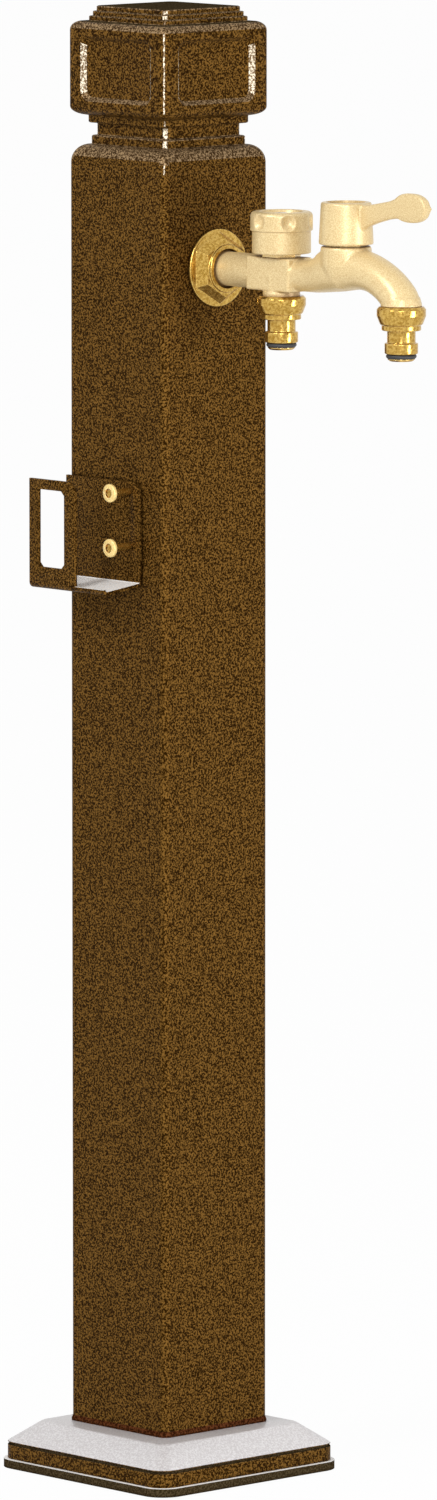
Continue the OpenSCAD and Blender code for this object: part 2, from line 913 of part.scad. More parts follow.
module spindle_o_ring() {
    color("#1c1c1c")
        at_tap(screw_valve_x, spindle_ring_z)
            ring_shape((spindle_d - ring_section) / 2, ring_section);
}

module valve_jumper() {
    disc_top = jumper_z + jumper_disc_t;
    sleeve_top = disc_top + jumper_sleeve_h;
    color("gold")
        at_tap(screw_valve_x)
            difference() {
                union() {
                    bore(jumper_disc_d, jumper_z, disc_top);
                    bore(jumper_sleeve_d, disc_top, sleeve_top);
                }
                bore(jumper_rod_d + 2 * run_gap, jumper_z + jumper_floor_t, sleeve_top + overrun);
            }
}

module jumper_washer() {
    color("#1c1c1c")
        at_tap(screw_valve_x)
            bore(jumper_disc_d, seat_z, jumper_z);
}

module tap_knob() {
    grip_r = knob_d / 2;
    drive_hole_w = drive_w + 2 * thread_gap;
    color("#d9bb7f")
        at_tap(screw_valve_x)
            difference() {
                union() {
                    bore(knob_skirt_d, knob_bottom, knob_floor);
                    bore(knob_d, knob_floor, knob_top - knob_edge_r);
                    translate([0, 0, knob_top - knob_edge_r])
                        cylinder(d1 = knob_d, d2 = knob_d - 2 * knob_edge_r, h = knob_edge_r);
                }
                bore(knob_skirt_d - 2 * knob_wall, knob_bottom - overrun, knob_floor - knob_wall / 2);
                bore(knob_recess_d, knob_recess_floor, knob_top + overrun);
                bore(spindle_d + 2 * thread_gap, knob_bottom, knob_floor);
                translate([-drive_hole_w / 2, -drive_hole_w / 2, knob_floor - overrun])
                    cube([drive_hole_w, drive_hole_w, knob_grip_h]);
                for (i = [0:knob_hollows - 1])
                    rotate(360 * i / knob_hollows + hollow_turn)
                        translate([grip_r + hollow_r - hollow_sink, 0, knob_floor + hollow_r])
                            sphere(r = hollow_r);
            }
}

module knob_screw() {
    head_top = knob_recess_floor + small_head_h;
    color("silver")
        at_tap(screw_valve_x)
            difference() {
                union() {
                    bore(small_head_d, knob_recess_floor, head_top);
                    bore(small_screw_d, spindle_top - small_screw_l + end_gap, knob_recess_floor);
                }
                screw_slot(small_head_d, head_top);
            }
}

module valve_ball() {
    color("silver")
        at_tap(ball_valve_x)
            difference() {
                translate([0, 0, ball_rise])
                    sphere(d = ball_d);
                rod([-ball_d, ball_rise], [ball_d, ball_rise], ball_bore_d, ball_bore_d);
                translate([-tang_l / 2 - thread_gap, -tang_w / 2 - thread_gap, tang_bottom - thread_gap])
                    cube([tang_l + 2 * thread_gap, tang_w + 2 * thread_gap, tang_depth + overrun]);
            }
}

// One of the two rings that the ball turns between, on the +X side of the ball
module seat_ring() {
    at_tap(ball_valve_x)
        difference() {
            rod([seat_lip_x, ball_rise], [seat_l, ball_rise], seat_outer_d, seat_outer_d);
            rod([0, ball_rise], [seat_l + overrun, ball_rise], ball_bore_d, ball_bore_d);
            translate([0, 0, ball_rise])
                sphere(d = ball_d + 2 * run_gap);
        }
}

module outlet_seat() {
    color("white")
        seat_ring();
}

module inlet_seat() {
    color("white")
        translate([2 * (column_face + ball_valve_x), 0, 0])
            mirror([1, 0, 0])
                seat_ring();
}

module ball_stem() {
    color("gold")
        at_tap(ball_valve_x)
            difference() {
                union() {
                    intersection() {
                        translate([-tang_l / 2, -tang_w / 2, tang_bottom])
                            cube([tang_l, tang_w, stem_flange_z - tang_bottom + stem_flange_h / 2]);
                        bore(tang_l, tang_bottom, stem_flange_top);
                    }
                    bore(stem_flange_d, stem_flange_z, stem_flange_top);
                    bore(stem_d, stem_flange_top, hub_web_bottom);
                    translate([-stem_drive_w / 2, -stem_drive_w / 2, hub_web_bottom])
                        cube([stem_drive_w, stem_drive_w, stem_top - hub_web_bottom]);
                }
                ring_groove(stem_d, stem_ring_z);
                bore(lever_screw_d + 2 * thread_gap, stem_top - lever_screw_l, stem_top + overrun);
            }
}

module stem_o_ring() {
    color("#1c1c1c")
        at_tap(ball_valve_x, stem_ring_z)
            ring_shape((stem_d - ring_section) / 2, ring_section);
}

module stem_bonnet() {
    color("goldenrod")
        at_tap(ball_valve_x)
            difference() {
                union() {
                    bore(stem_bonnet_d, stem_bonnet_bottom, stem_hex_z);
                    translate([0, 0, stem_hex_z])
                        cylinder(d = stem_hex_across, h = stem_hex_h, $fn = 6);
                    bore(stem_gland_d, stem_hex_z, stem_gland_top);
                }
                bore(stem_flange_d + 4 * run_gap, stem_bonnet_bottom - overrun, stem_flange_top + end_gap);
                bore(stem_d + 2 * run_gap, stem_bonnet_bottom, stem_gland_top + overrun);
            }
}

// Side outline of the lever arm, from the hub axis, with heights from the hub base
module lever_outline() {
    paddle_r = paddle_h / 2;
    paddle_mid = lever_reach - paddle_l / 2;
    straight = paddle_l - paddle_h;
    arm_top = hub_h - hub_wall / 2;
    arm_bottom = arm_top - arm_root_h;
    translate([paddle_mid, paddle_rise])
        square([straight, paddle_h], center = true);
    for (x = [-1, 1])
        translate([paddle_mid + x * straight / 2, paddle_rise])
            circle(r = paddle_r);
    polygon([
        [hub_d / 2 - hub_wall, 0],
        [hub_d / 2, 0],
        [hub_d / 2 + hub_wall, arm_bottom / 2],
        [hub_d / 2 + arm_root_h / 2, arm_bottom],
        [paddle_mid, paddle_rise - paddle_r / 2],
        [paddle_mid, paddle_rise + paddle_r / 2],
        [hub_d / 2, arm_top],
        [hub_d / 2 - hub_wall, arm_top]
    ]);
}

module lever_handle() {
    drive_hole_w = stem_drive_w + 2 * thread_gap;
    color("#d9bb7f")
        at_tap(ball_valve_x)
            difference() {
                union() {
                    translate([0, 0, hub_bottom])
                        cylinder(d1 = hub_base_d, d2 = hub_d, h = hub_h);
                    translate([0, lever_t / 2, hub_bottom])
                        rotate([90, 0, 0])
                            linear_extrude(lever_t)
                                lever_outline();
                }
                bore(hub_d - 2 * hub_wall, hub_bottom - overrun, hub_web_bottom);
                bore(hub_recess_d, hub_web_top, hub_top + overrun);
                translate([-drive_hole_w / 2, -drive_hole_w / 2, hub_web_bottom - overrun])
                    cube([drive_hole_w, drive_hole_w, hub_web_t + 2 * overrun]);
            }
}

module lever_screw() {
    head_top = hub_web_top + lever_head_h;
    color("silver")
        at_tap(ball_valve_x)
            difference() {
                union() {
                    bore(lever_head_d, hub_web_top, head_top);
                    bore(lever_screw_d, stem_top - lever_screw_l + end_gap, hub_web_top);
                }
                screw_slot(lever_head_d, head_top);
            }
}

// A hose nipple with the top of its collar at its origin
module nipple() {
    end_bottom = -nipple_l;
    difference() {
        rotate_extrude()
            polygon([
                [0, 0],
                [collar_d / 2 - collar_edge, 0],
                [collar_d / 2, -collar_edge],
                [collar_d / 2, -collar_h / 2],
                [ring_d / 2, -collar_h],
                [ring_d / 2, -collar_h - ring_h],
                [waist_d / 2, -collar_h - ring_h],
                [waist_d / 2, tip_z],
                [tip_d / 2, tip_z],
                [tip_d / 2, end_z],
                [nipple_ring_d / 2 - nipple_ring_section, end_z],
                [nipple_ring_d / 2 - nipple_ring_section, end_z - nipple_ring_section],
                [nipple_lip_d / 2, end_z - nipple_ring_section],
                [nipple_lip_d / 2, end_bottom + nipple_lip_h],
                [nipple_lip_d / 2 - nipple_lip_h, end_bottom],
                [0, end_bottom]
            ]);
        bore(tail_hole_d, -nipple_seat, overrun);
        bore(nipple_bore_d, end_bottom - overrun, -stub_l);
    }
}

module nipple_washer() {
    difference() {
        bore(tail_d, -nipple_seat, -stub_l);
        bore(nipple_bore_d, -nipple_seat - overrun, overrun);
    }
}

module nipple_o_ring() {
    translate([0, 0, nipple_ring_z])
        ring_shape((nipple_ring_d - nipple_ring_section) / 2, nipple_ring_section);
}

module side_nipple() {
    color("#d9a441")
        at_tap(screw_valve_x, -outlet_drop)
            nipple();
}

module side_washer() {
    color("#1c1c1c")
        at_tap(screw_valve_x, -outlet_drop)
            nipple_washer();
}

module side_o_ring() {
    color("#1c1c1c")
        at_tap(screw_valve_x, -outlet_drop)
            nipple_o_ring();
}

module spout_nipple() {
    color("#d9a441")
        at_tap(spout_x, -outlet_drop)
            nipple();
}

module spout_washer() {
    color("#1c1c1c")
        at_tap(spout_x, -outlet_drop)
            nipple_washer();
}

module spout_o_ring() {
    color("#1c1c1c")
        at_tap(spout_x, -outlet_drop)
            nipple_o_ring();
}

// A quarter bend of the sheet under its centre, on the side that the given X points to
module sheet_bend(side) {
    intersection() {
        difference() {
            circle(r = bend_outer_r);
            circle(r = bend_r);
        }
        translate([min(side, 0) * bend_outer_r, -bend_outer_r])
            square(bend_outer_r);
    }
}

// Side outline of the bracket: back plate, sloping shelf and front plate with rounded bends
module bracket_outline() {
    near_bend_x = shelf_reach - bend_outer_r;
    bend_z = bend_outer_r - shelf_drop;
    translate([0, bend_outer_r])
        square([sheet_t, back_h - bend_outer_r]);
    translate([bend_outer_r, bend_outer_r])
        sheet_bend(-1);
    polygon([
        [bend_outer_r, 0],
        [near_bend_x, -shelf_drop],
        [near_bend_x, sheet_t - shelf_drop],
        [bend_outer_r, sheet_t]
    ]);
    translate([near_bend_x, bend_z])
        sheet_bend(1);
    translate([shelf_reach - sheet_t, bend_z])
        square([sheet_t, front_top - bend_z]);
}

// A prism that cuts one top corner off a plate, at the given X
module corner_cut(x, z) {
    translate([x, 0, z])
        rotate([90, 45, 0])
            cube([sqrt(2) * plate_cut, sqrt(2) * plate_cut, 4 * column_w], center = true);
}

module window_cut_shape() {
    left = shelf_far_x + window_inset;
    right = left + window_w;
    top = front_top - window_drop;
    bottom = top - window_h;
    translate([0, -shelf_reach + sheet_t + overrun, 0])
        rotate([90, 0, 0])
            linear_extrude(sheet_t + 2 * overrun)
                polygon([
                    [left, bottom + window_cut],
                    [left + window_cut, bottom],
                    [right - window_cut, bottom],
                    [right, bottom + window_cut],
                    [right, top - window_cut],
                    [right - window_cut, top],
                    [left, top]
                ]);
}

module hose_bracket() {
    color("#4e3519")
        translate([0, -column_face, bracket_height])
            difference() {
                translate([shelf_near_x, 0, 0])
                    rotate([90, 0, -90])
                        linear_extrude(bracket_w)
                            bracket_outline();
                translate([shelf_far_x + front_w, -shelf_reach - overrun, bend_outer_r - shelf_drop])
                    cube([bracket_w, bend_outer_r + overrun, front_h]);
                window_cut_shape();
                intersection() {
                    corner_cut(shelf_far_x + front_w, front_top);
                    translate([shelf_far_x, -shelf_reach - overrun, 0])
                        cube([bracket_w, shelf_reach / 2, 2 * front_h]);
                }
                intersection() {
                    corner_cut(shelf_near_x, back_h);
                    translate([shelf_far_x, -shelf_reach / 2, 0])
                        cube([2 * bracket_w, shelf_reach, 2 * front_h]);
                }
                for (z = [0, peg_spacing])
                    translate([peg_x, 0, peg_top_z - z - bracket_height])
                        rotate([90, 0, 0])
                            bore(peg_hole_d, -overrun, sheet_t + overrun);
            }
}

// A peg with the face of the bracket's back plate at its origin, pointing along +Z
module peg() {
    head_top = peg_l + peg_head_h;
    difference() {
        union() {
            bore(peg_tail_d, -peg_tail_l, 0);
            bore(peg_d, 0, peg_l);
            bore(peg_head_d, peg_l, head_top);
        }
        translate([0, 0, head_top - peg_socket_depth])
            cylinder(d = peg_socket_d, h = peg_socket_depth + overrun, $fn = 6);
    }
}

module at_pegs(depth) {
    for (z = [0, peg_spacing])
        translate([peg_x, -column_face - depth, peg_top_z - z])
            rotate([90, 0, 0])
                children();
}

module bracket_pegs() {
    color("gold")
        at_pegs(sheet_t)
            peg();
}

module peg_nuts() {
    color("silver")
        at_pegs(-column_wall)
            difference() {
                bore(peg_nut_d, -peg_nut_h, 0);
                bore(peg_tail_d + 2 * thread_gap, -peg_nut_h - overrun, overrun);
            }
}

ground_plate();
base_cover();
column_tube();
column_cap();
foot_fitting();
lower_pipe_nut();
riser_pipe();
upper_pipe_nut();
pipe_olives();
tap_elbow();
tail_washer();
tail_locknut();
wall_flange();
tap_body();
spindle_bonnet();
valve_spindle();
spindle_o_ring();
valve_jumper();
jumper_washer();
tap_knob();
knob_screw();
valve_ball();
inlet_seat();
outlet_seat();
ball_stem();
stem_o_ring();
stem_bonnet();
lever_handle();
lever_screw();
side_nipple();
side_washer();
side_o_ring();
spout_nipple();
spout_washer();
spout_o_ring();
hose_bracket();
bracket_pegs();
peg_nuts();
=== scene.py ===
import json
import math
import bmesh
import bpy
from mathutils import Matrix, Vector


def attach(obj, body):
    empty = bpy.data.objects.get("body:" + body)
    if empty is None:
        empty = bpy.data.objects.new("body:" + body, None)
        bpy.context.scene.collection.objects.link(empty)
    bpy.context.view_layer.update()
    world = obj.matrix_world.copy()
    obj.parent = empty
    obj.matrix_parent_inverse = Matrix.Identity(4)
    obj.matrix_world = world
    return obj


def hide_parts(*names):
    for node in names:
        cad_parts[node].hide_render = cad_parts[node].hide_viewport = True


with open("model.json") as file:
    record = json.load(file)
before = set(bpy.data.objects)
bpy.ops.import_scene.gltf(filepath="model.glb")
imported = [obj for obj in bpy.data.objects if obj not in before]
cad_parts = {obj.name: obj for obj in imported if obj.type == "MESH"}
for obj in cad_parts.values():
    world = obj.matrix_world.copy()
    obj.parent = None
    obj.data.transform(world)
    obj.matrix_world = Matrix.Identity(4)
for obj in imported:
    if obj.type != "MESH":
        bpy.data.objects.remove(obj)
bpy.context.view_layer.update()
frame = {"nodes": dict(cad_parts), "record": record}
nodes = frame["nodes"]
mm = 0.001
weldGap = 0.002 * mm
quarter = math.pi / 2
print("frame loaded:", len(nodes), "nodes")


# Mesh helpers. Lengths are in millimetres until addPiece writes them in metres

def addPiece(name, verts, faces):
    mesh = bpy.data.meshes.new(name)
    mesh.from_pydata([tuple(c * mm for c in v) for v in verts], [], faces)
    piece = bpy.data.objects.new(name, mesh)
    bpy.context.scene.collection.objects.link(piece)
    return piece


def weld(piece):
    work = bmesh.new()
    work.from_mesh(piece.data)
    bmesh.ops.remove_doubles(work, verts=work.verts, dist=weldGap)
    bmesh.ops.recalc_face_normals(work, faces=work.faces)
    work.to_mesh(piece.data)
    work.free()
    return piece


def shade(piece, degrees):
    piece.data.shade_smooth()
    piece.data.set_sharp_from_angle(angle=math.radians(degrees))
    return piece


def bevel(piece, width, segments=3, degrees=30):
    mod = piece.modifiers.new("edges", "BEVEL")
    mod.width = width * mm
    mod.segments = segments
    mod.limit_method = "ANGLE"
    mod.angle_limit = math.radians(degrees)
    mod.use_clamp_overlap = True
    return piece


def bake(piece):                                     # turns the modifiers into mesh
    graph = bpy.context.evaluated_depsgraph_get()
    mesh = bpy.data.meshes.new_from_object(piece.evaluated_get(graph))
    piece.modifiers.clear()
    piece.data = mesh
    return piece


def cut(piece, cutters):                             # takes the cutters out of the piece
    for cutter in cutters:
        mod = piece.modifiers.new("cut", "BOOLEAN")
        mod.operation = "DIFFERENCE"
        mod.solver = "MANIFOLD"
        mod.object = cutter
        bake(piece)
        bpy.data.objects.remove(cutter)
    return piece


def fuse(name, parts, voxel, passes):                # one cast skin over several overlapping parts
    verts = []
    faces = []
    for part in parts:
        start = len(verts)
        verts += [part.matrix_world @ v.co / mm for v in part.data.vertices]
        faces += [[start + i for i in f.vertices] for f in part.data.polygons]
        bpy.data.objects.remove(part)
    piece = addPiece(name, verts, faces)
    mod = piece.modifiers.new("skin", "REMESH")
    mod.mode = "VOXEL"
    mod.voxel_size = voxel * mm
    mod = piece.modifiers.new("relax", "SMOOTH")
    mod.factor = 0.5
    mod.iterations = passes
    return bake(piece)


def fillet(points, closed=True, stepsPerTurn=32):    # rounds the corners of an outline, (x, y, radius)
    path = []
    last = len(points) - 1
    for i, (x, y, radius) in enumerate(points):
        here = Vector((x, y))
        if radius == 0 or (not closed and i in (0, last)):
            path.append(tuple(here))
            continue
        before = Vector(points[i - 1][:2]) - here
        after = Vector(points[0 if i == last else i + 1][:2]) - here
        half = before.angle(after) / 2
        if half > quarter * 0.99:
            path.append(tuple(here))
            continue
        reach = min(radius / math.tan(half), before.length * 0.49, after.length * 0.49)
        radius = reach * math.tan(half)
        middle = before.normalized() + after.normalized()
        centre = here + middle.normalized() * (radius / math.sin(half))
        start = here + before.normalized() * reach - centre
        end = here + after.normalized() * reach - centre
        turn = math.pi - 2 * half
        side = 1 if start.cross(end) > 0 else -1
        steps = max(2, round(turn / math.tau * stepsPerTurn))
        for k in range(steps + 1):
            spun = Matrix.Rotation(side * turn * k / steps, 2) @ start
            path.append(tuple(centre + spun))
    return path


def rounded(corners, radii, **options):              # the same, with the radii in a list of their own
    return fillet([(*corner, radius) for corner, radius in zip(corners, radii)], **options)


def lathe(name, profile, centre, toX=False, steps=96, closed=True, shape=None):
    rings = []
    verts = []
    for r, z in profile:
        ring = []
        for k in range(1 if r < 0.0001 else steps):
            angle = math.tau * k / steps
            reach = shape(r, z, angle) if shape else r
            ring.append(len(verts))
            point = (reach * math.cos(angle), reach * math.sin(angle), z)
            if toX:
                point = (point[2], point[1], -point[0])
            verts.append(tuple(p + c for p, c in zip(point, centre)))
        rings.append(ring)
    faces = []
    pairs = list(zip(rings, rings[1:]))
    if closed:
        pairs.append((rings[-1], rings[0]))
    for low, high in pairs:
        for k in range(steps):
            n = (k + 1) % steps
            face = [low[k % len(low)], low[n % len(low)], high[n % len(high)], high[k % len(high)]]
            face = list(dict.fromkeys(face))
            if len(face) > 2:
                faces.append(face)
    return weld(addPiece(name, verts, faces))


def squareRing(half, radius, z, cuts=(-1, 1), cornerSteps=6):
    straight = half - radius
    local = [(half, straight * c) for c in cuts]
    for k in range(1, cornerSteps):
        angle = quarter * k / cornerSteps
        local.append((straight + radius * math.cos(angle), straight + radius * math.sin(angle)))
    ring = []
    for side in range(4):
        c = round(math.cos(quarter * side))
        s = round(math.sin(quarter * side))
        ring += [(x * c - y * s, x * s + y * c, z) for x, y in local]
    return ring


def tower(rings, closeEnds=True, skip=None):         # skins a stack of equal rings
    count = len(rings[0])
    verts = [p for ring in rings for p in ring]
    faces = []
    levels = len(rings) if not closeEnds else len(rings) - 1
    for i in range(levels):
        low = i * count
        high = (i + 1) % len(rings) * count
        for k in range(count):
            if skip and skip(i, k):
                continue
            n = (k + 1) % count
            faces.append([low + k, low + n, high + n, high + k])
    if closeEnds:
        faces.append(list(range(count))[::-1])
        faces.append(list(range(len(verts) - count, len(verts))))
    return verts, faces


def copyNode(name, node):                            # a free copy of a CAD mesh, its flat faces joined up
    piece = bpy.data.objects.new(name, nodes[node].data.copy())
    bpy.context.scene.collection.objects.link(piece)
    piece.data.materials.clear()
    work = bmesh.new()
    work.from_mesh(piece.data)
    bmesh.ops.remove_doubles(work, verts=work.verts, dist=weldGap)
    bmesh.ops.dissolve_limit(work, angle_limit=math.radians(1), verts=work.verts, edges=work.edges)
    bmesh.ops.recalc_face_normals(work, faces=work.faces)
    work.to_mesh(piece.data)
    work.free()
    for label in ("custom_normal", "sharp_edge", "sharp_face"):
        if label in piece.data.attributes:
            piece.data.attributes.remove(piece.data.attributes[label])
    return piece


def rodMesh(start, end, startD, endD=None, steps=64):
    a = Vector(start)
    b = Vector(end)
    turn = (b - a).to_track_quat("Z", "Y").to_matrix()
    rings = []
    for point, d in ((a, startD), (b, endD or startD)):
        ring = []
        for k in range(steps):
            angle = math.tau * k / steps
            spoke = Vector((math.cos(angle), math.sin(angle), 0)) * d / 2
            ring.append(tuple(point + turn @ spoke))
        rings.append(ring)
    return weld(addPiece("rod", *tower(rings)))


def blockMesh(low, high, edge):
    verts = [(x, y, z) for x in (low[0], high[0]) for y in (low[1], high[1]) for z in (low[2], high[2])]
    faces = [(0, 1, 3, 2), (4, 6, 7, 5), (0, 4, 5, 1), (2, 3, 7, 6), (0, 2, 6, 4), (1, 5, 7, 3)]
    return bake(bevel(addPiece("block", verts, faces), edge))


def spineMesh(points, spanSteps=8, steps=64):        # a round skin along a smooth line of (x, z, diameter)
    fine = []
    for i in range(len(points) - 1):
        p0 = Vector(points[max(i - 1, 0)])
        p1 = Vector(points[i])
        p2 = Vector(points[i + 1])
        p3 = Vector(points[min(i + 2, len(points) - 1)])
        for k in range(spanSteps):
            t = k / spanSteps
            curve = p1 * 2 + (p2 - p0) * t + (p0 * 2 - p1 * 5 + p2 * 4 - p3) * t * t
            fine.append((curve + (p1 * 3 - p0 - p2 * 3 + p3) * t * t * t) / 2)
    fine.append(Vector(points[-1]))
    rings = []
    for i, point in enumerate(fine):
        ahead = fine[min(i + 1, len(fine) - 1)] - fine[max(i - 1, 0)]
        along = Vector((ahead[0], 0, ahead[1])).normalized()
        up = Vector((-along[2], 0, along[0]))
        ring = []
        for k in range(steps):
            angle = math.tau * k / steps
            spoke = Vector((0, 1, 0)) * math.cos(angle) + up * math.sin(angle)
            ring.append(tuple(Vector((point[0], 0, point[1])) + spoke * point[2] / 2))
        rings.append(ring)
    return weld(addPiece("spine", *tower(rings)))


# Shader helpers

def addNode(tree, kind, inputs=None, **settings):
    node = tree.nodes.new(kind)
    for key, value in settings.items():
        setattr(node, key, value)
    for key, value in (inputs or {}).items():
        node.inputs[key].default_value = value
    return node


def mathNode(tree, operation, *values, **settings):  # a value is a number or another node's output
    node = addNode(tree, "ShaderNodeMath", operation=operation, **settings)
    for socket, value in zip(node.inputs, values):
        if isinstance(value, float):
            socket.default_value = value
        else:
            tree.links.new(value, socket)
    return node.outputs["Value"]


def emptyTree(owner):
    owner.use_nodes = True
    owner.node_tree.nodes.clear()
    return owner.node_tree


def newGroup(name, inputs, outputs):
    tree = bpy.data.node_groups.new(name, "ShaderNodeTree")
    for label, value in inputs.items():
        socket = tree.interface.new_socket(label, in_out="INPUT", socket_type="NodeSocketFloat")
        socket.default_value = value
    for label in outputs:
        tree.interface.new_socket(label, in_out="OUTPUT", socket_type="NodeSocketFloat")
    return tree, tree.nodes.new("NodeGroupInput"), tree.nodes.new("NodeGroupOutput")


def placeGroup(tree, group, values):
    node = tree.nodes.new("ShaderNodeGroup")
    node.node_tree = group
    for key, value in values.items():
        node.inputs[key].default_value = value
    return node


def noiseGroup(name, detail, roughness, lowCut, highCut):
    tree, source, sink = newGroup(name, {"Scale": 500.0, "Distortion": 0.0}, ("Mask", "Height"))
    place = addNode(tree, "ShaderNodeTexCoord")
    noise = addNode(tree, "ShaderNodeTexNoise", {"Detail": detail, "Roughness": roughness})
    limits = {"From Min": lowCut, "From Max": highCut}
    ramp = addNode(tree, "ShaderNodeMapRange", limits, interpolation_type="SMOOTHSTEP")
    tree.links.new(place.outputs["Object"], noise.inputs["Vector"])
    tree.links.new(source.outputs["Scale"], noise.inputs["Scale"])
    tree.links.new(source.outputs["Distortion"], noise.inputs["Distortion"])
    tree.links.new(noise.outputs["Fac"], ramp.inputs["Value"])
    tree.links.new(ramp.outputs["Result"], sink.inputs["Mask"])
    tree.links.new(noise.outputs["Fac"], sink.inputs["Height"])
    return tree


def edgeGroup():                                     # 1 where the surface turns sharply, 0 on flats: the mask for painted edge highlights
    tree, source, sink = newGroup("edgeTurn", {"Width": 0.001, "Gain": 4.0, "Upright": 0.0}, ("Mask",))
    soft = addNode(tree, "ShaderNodeBevel", samples=6)
    plain = addNode(tree, "ShaderNodeNewGeometry")
    facing = addNode(tree, "ShaderNodeVectorMath", operation="DOT_PRODUCT")
    parts = addNode(tree, "ShaderNodeSeparateXYZ")
    tree.links.new(source.outputs["Width"], soft.inputs["Radius"])
    tree.links.new(soft.outputs["Normal"], facing.inputs[0])
    tree.links.new(plain.outputs["Normal"], facing.inputs[1])
    tree.links.new(soft.outputs["Normal"], parts.inputs["Vector"])
    turned = mathNode(tree, "SUBTRACT", 1.0, facing.outputs["Value"])
    gained = mathNode(tree, "MULTIPLY", turned, source.outputs["Gain"], use_clamp=True)
    # Upright lowers the mask on edges that face up or down, keeping the painted highlight on upright edges
    lean = mathNode(tree, "ABSOLUTE", parts.outputs["Z"])
    loss = mathNode(tree, "MULTIPLY", lean, source.outputs["Upright"])
    kept = mathNode(tree, "SUBTRACT", 1.0, loss, use_clamp=True)
    tree.links.new(mathNode(tree, "MULTIPLY", gained, kept), sink.inputs["Mask"])
    return tree


def creviceGroup():                                  # 1 deep in a corner or groove, 0 in the open: the mask for painted shade there
    tree, source, sink = newGroup("crevice", {"Reach": 0.003, "Gain": 1.0}, ("Mask",))
    openness = addNode(tree, "ShaderNodeAmbientOcclusion", samples=8)
    limits = {"From Min": 0.85, "From Max": 0.25}
    ramp = addNode(tree, "ShaderNodeMapRange", limits, interpolation_type="SMOOTHSTEP")
    tree.links.new(source.outputs["Reach"], openness.inputs["Distance"])
    tree.links.new(openness.outputs["AO"], ramp.inputs["Value"])
    mask = mathNode(tree, "MULTIPLY", ramp.outputs["Result"], source.outputs["Gain"], use_clamp=True)
    tree.links.new(mask, sink.inputs["Mask"])
    return tree


speckleEffect = noiseGroup("coatSpeckle", 2.0, 0.6, 0.44, 0.60)
grainEffect = noiseGroup("metalGrain", 4.0, 0.7, 0.35, 0.65)
edgeEffect = edgeGroup()
creviceEffect = creviceGroup()


def mixColour(tree, factor, first, second):
    mix = addNode(tree, "ShaderNodeMix", data_type="RGBA")
    tree.links.new(factor, mix.inputs["Factor"])
    for socket, colour in ((mix.inputs[6], first), (mix.inputs[7], second)):
        if isinstance(colour, tuple):
            socket.default_value = (*colour, 1.0)
        else:
            tree.links.new(colour, socket)
    return mix.outputs[2]


def makeMaterial(name, look):
    material = bpy.data.materials.new(name)
    tree = emptyTree(material)
    out = tree.nodes.new("ShaderNodeOutputMaterial")
    skin = addNode(tree, "ShaderNodeBsdfPrincipled", {
        "Metallic": look["metallic"],
        "Specular IOR Level": look.get("specular", 0.5),
    })
    tree.links.new(skin.outputs["BSDF"], out.inputs["Surface"])
    grain = placeGroup(tree, look["effect"], {
        "Scale": look["grainScale"], "Distortion": look.get("swirl", 0.0),
    })
    # painted highlight: the edge colour is mixed in where the surface turns
    edge = placeGroup(tree, edgeEffect, {
        "Width": look["edgeWidth"] * mm, "Gain": look["edgeGain"], "Upright": look.get("upright", 0.0),
    })
    # painted shade: ambient occlusion darkens the colour in corners, grooves and under parts
    crevice = placeGroup(tree, creviceEffect, {
        "Reach": look.get("creviceReach", 2.0) * mm, "Gain": look.get("grime", 0.6),
    })
    colour = mixColour(tree, grain.outputs["Mask"], look["dark"], look["light"])
    edgeHighlight = edge.outputs["Mask"]
    if "dotted" in look:                             # painted highlight: the edge highlight broken into dots on the high points of the grain
        dots = addNode(tree, "ShaderNodeMapRange", {"To Min": 1 - look["dotted"], "To Max": 1.0})
        tree.links.new(grain.outputs["Mask"], dots.inputs["Value"])
        edgeHighlight = mathNode(tree, "MULTIPLY", dots.outputs["Result"], edgeHighlight)
    colour = mixColour(tree, edgeHighlight, colour, look["edge"])
    colour = mixColour(tree, crevice.outputs["Mask"], colour, look["crevice"])
    tree.links.new(colour, skin.inputs["Base Color"])
    rough = addNode(tree, "ShaderNodeMapRange", {"To Min": look["roughLow"], "To Max": look["roughHigh"]})
    tree.links.new(grain.outputs["Mask"], rough.inputs["Value"])
    tree.links.new(rough.outputs["Result"], skin.inputs["Roughness"])
    bump = addNode(tree, "ShaderNodeBump", {"Strength": look["bump"], "Distance": look["bumpHeight"] * mm})
    tree.links.new(grain.outputs["Height"], bump.inputs["Height"])
    tree.links.new(bump.outputs["Normal"], skin.inputs["Normal"])
    return material
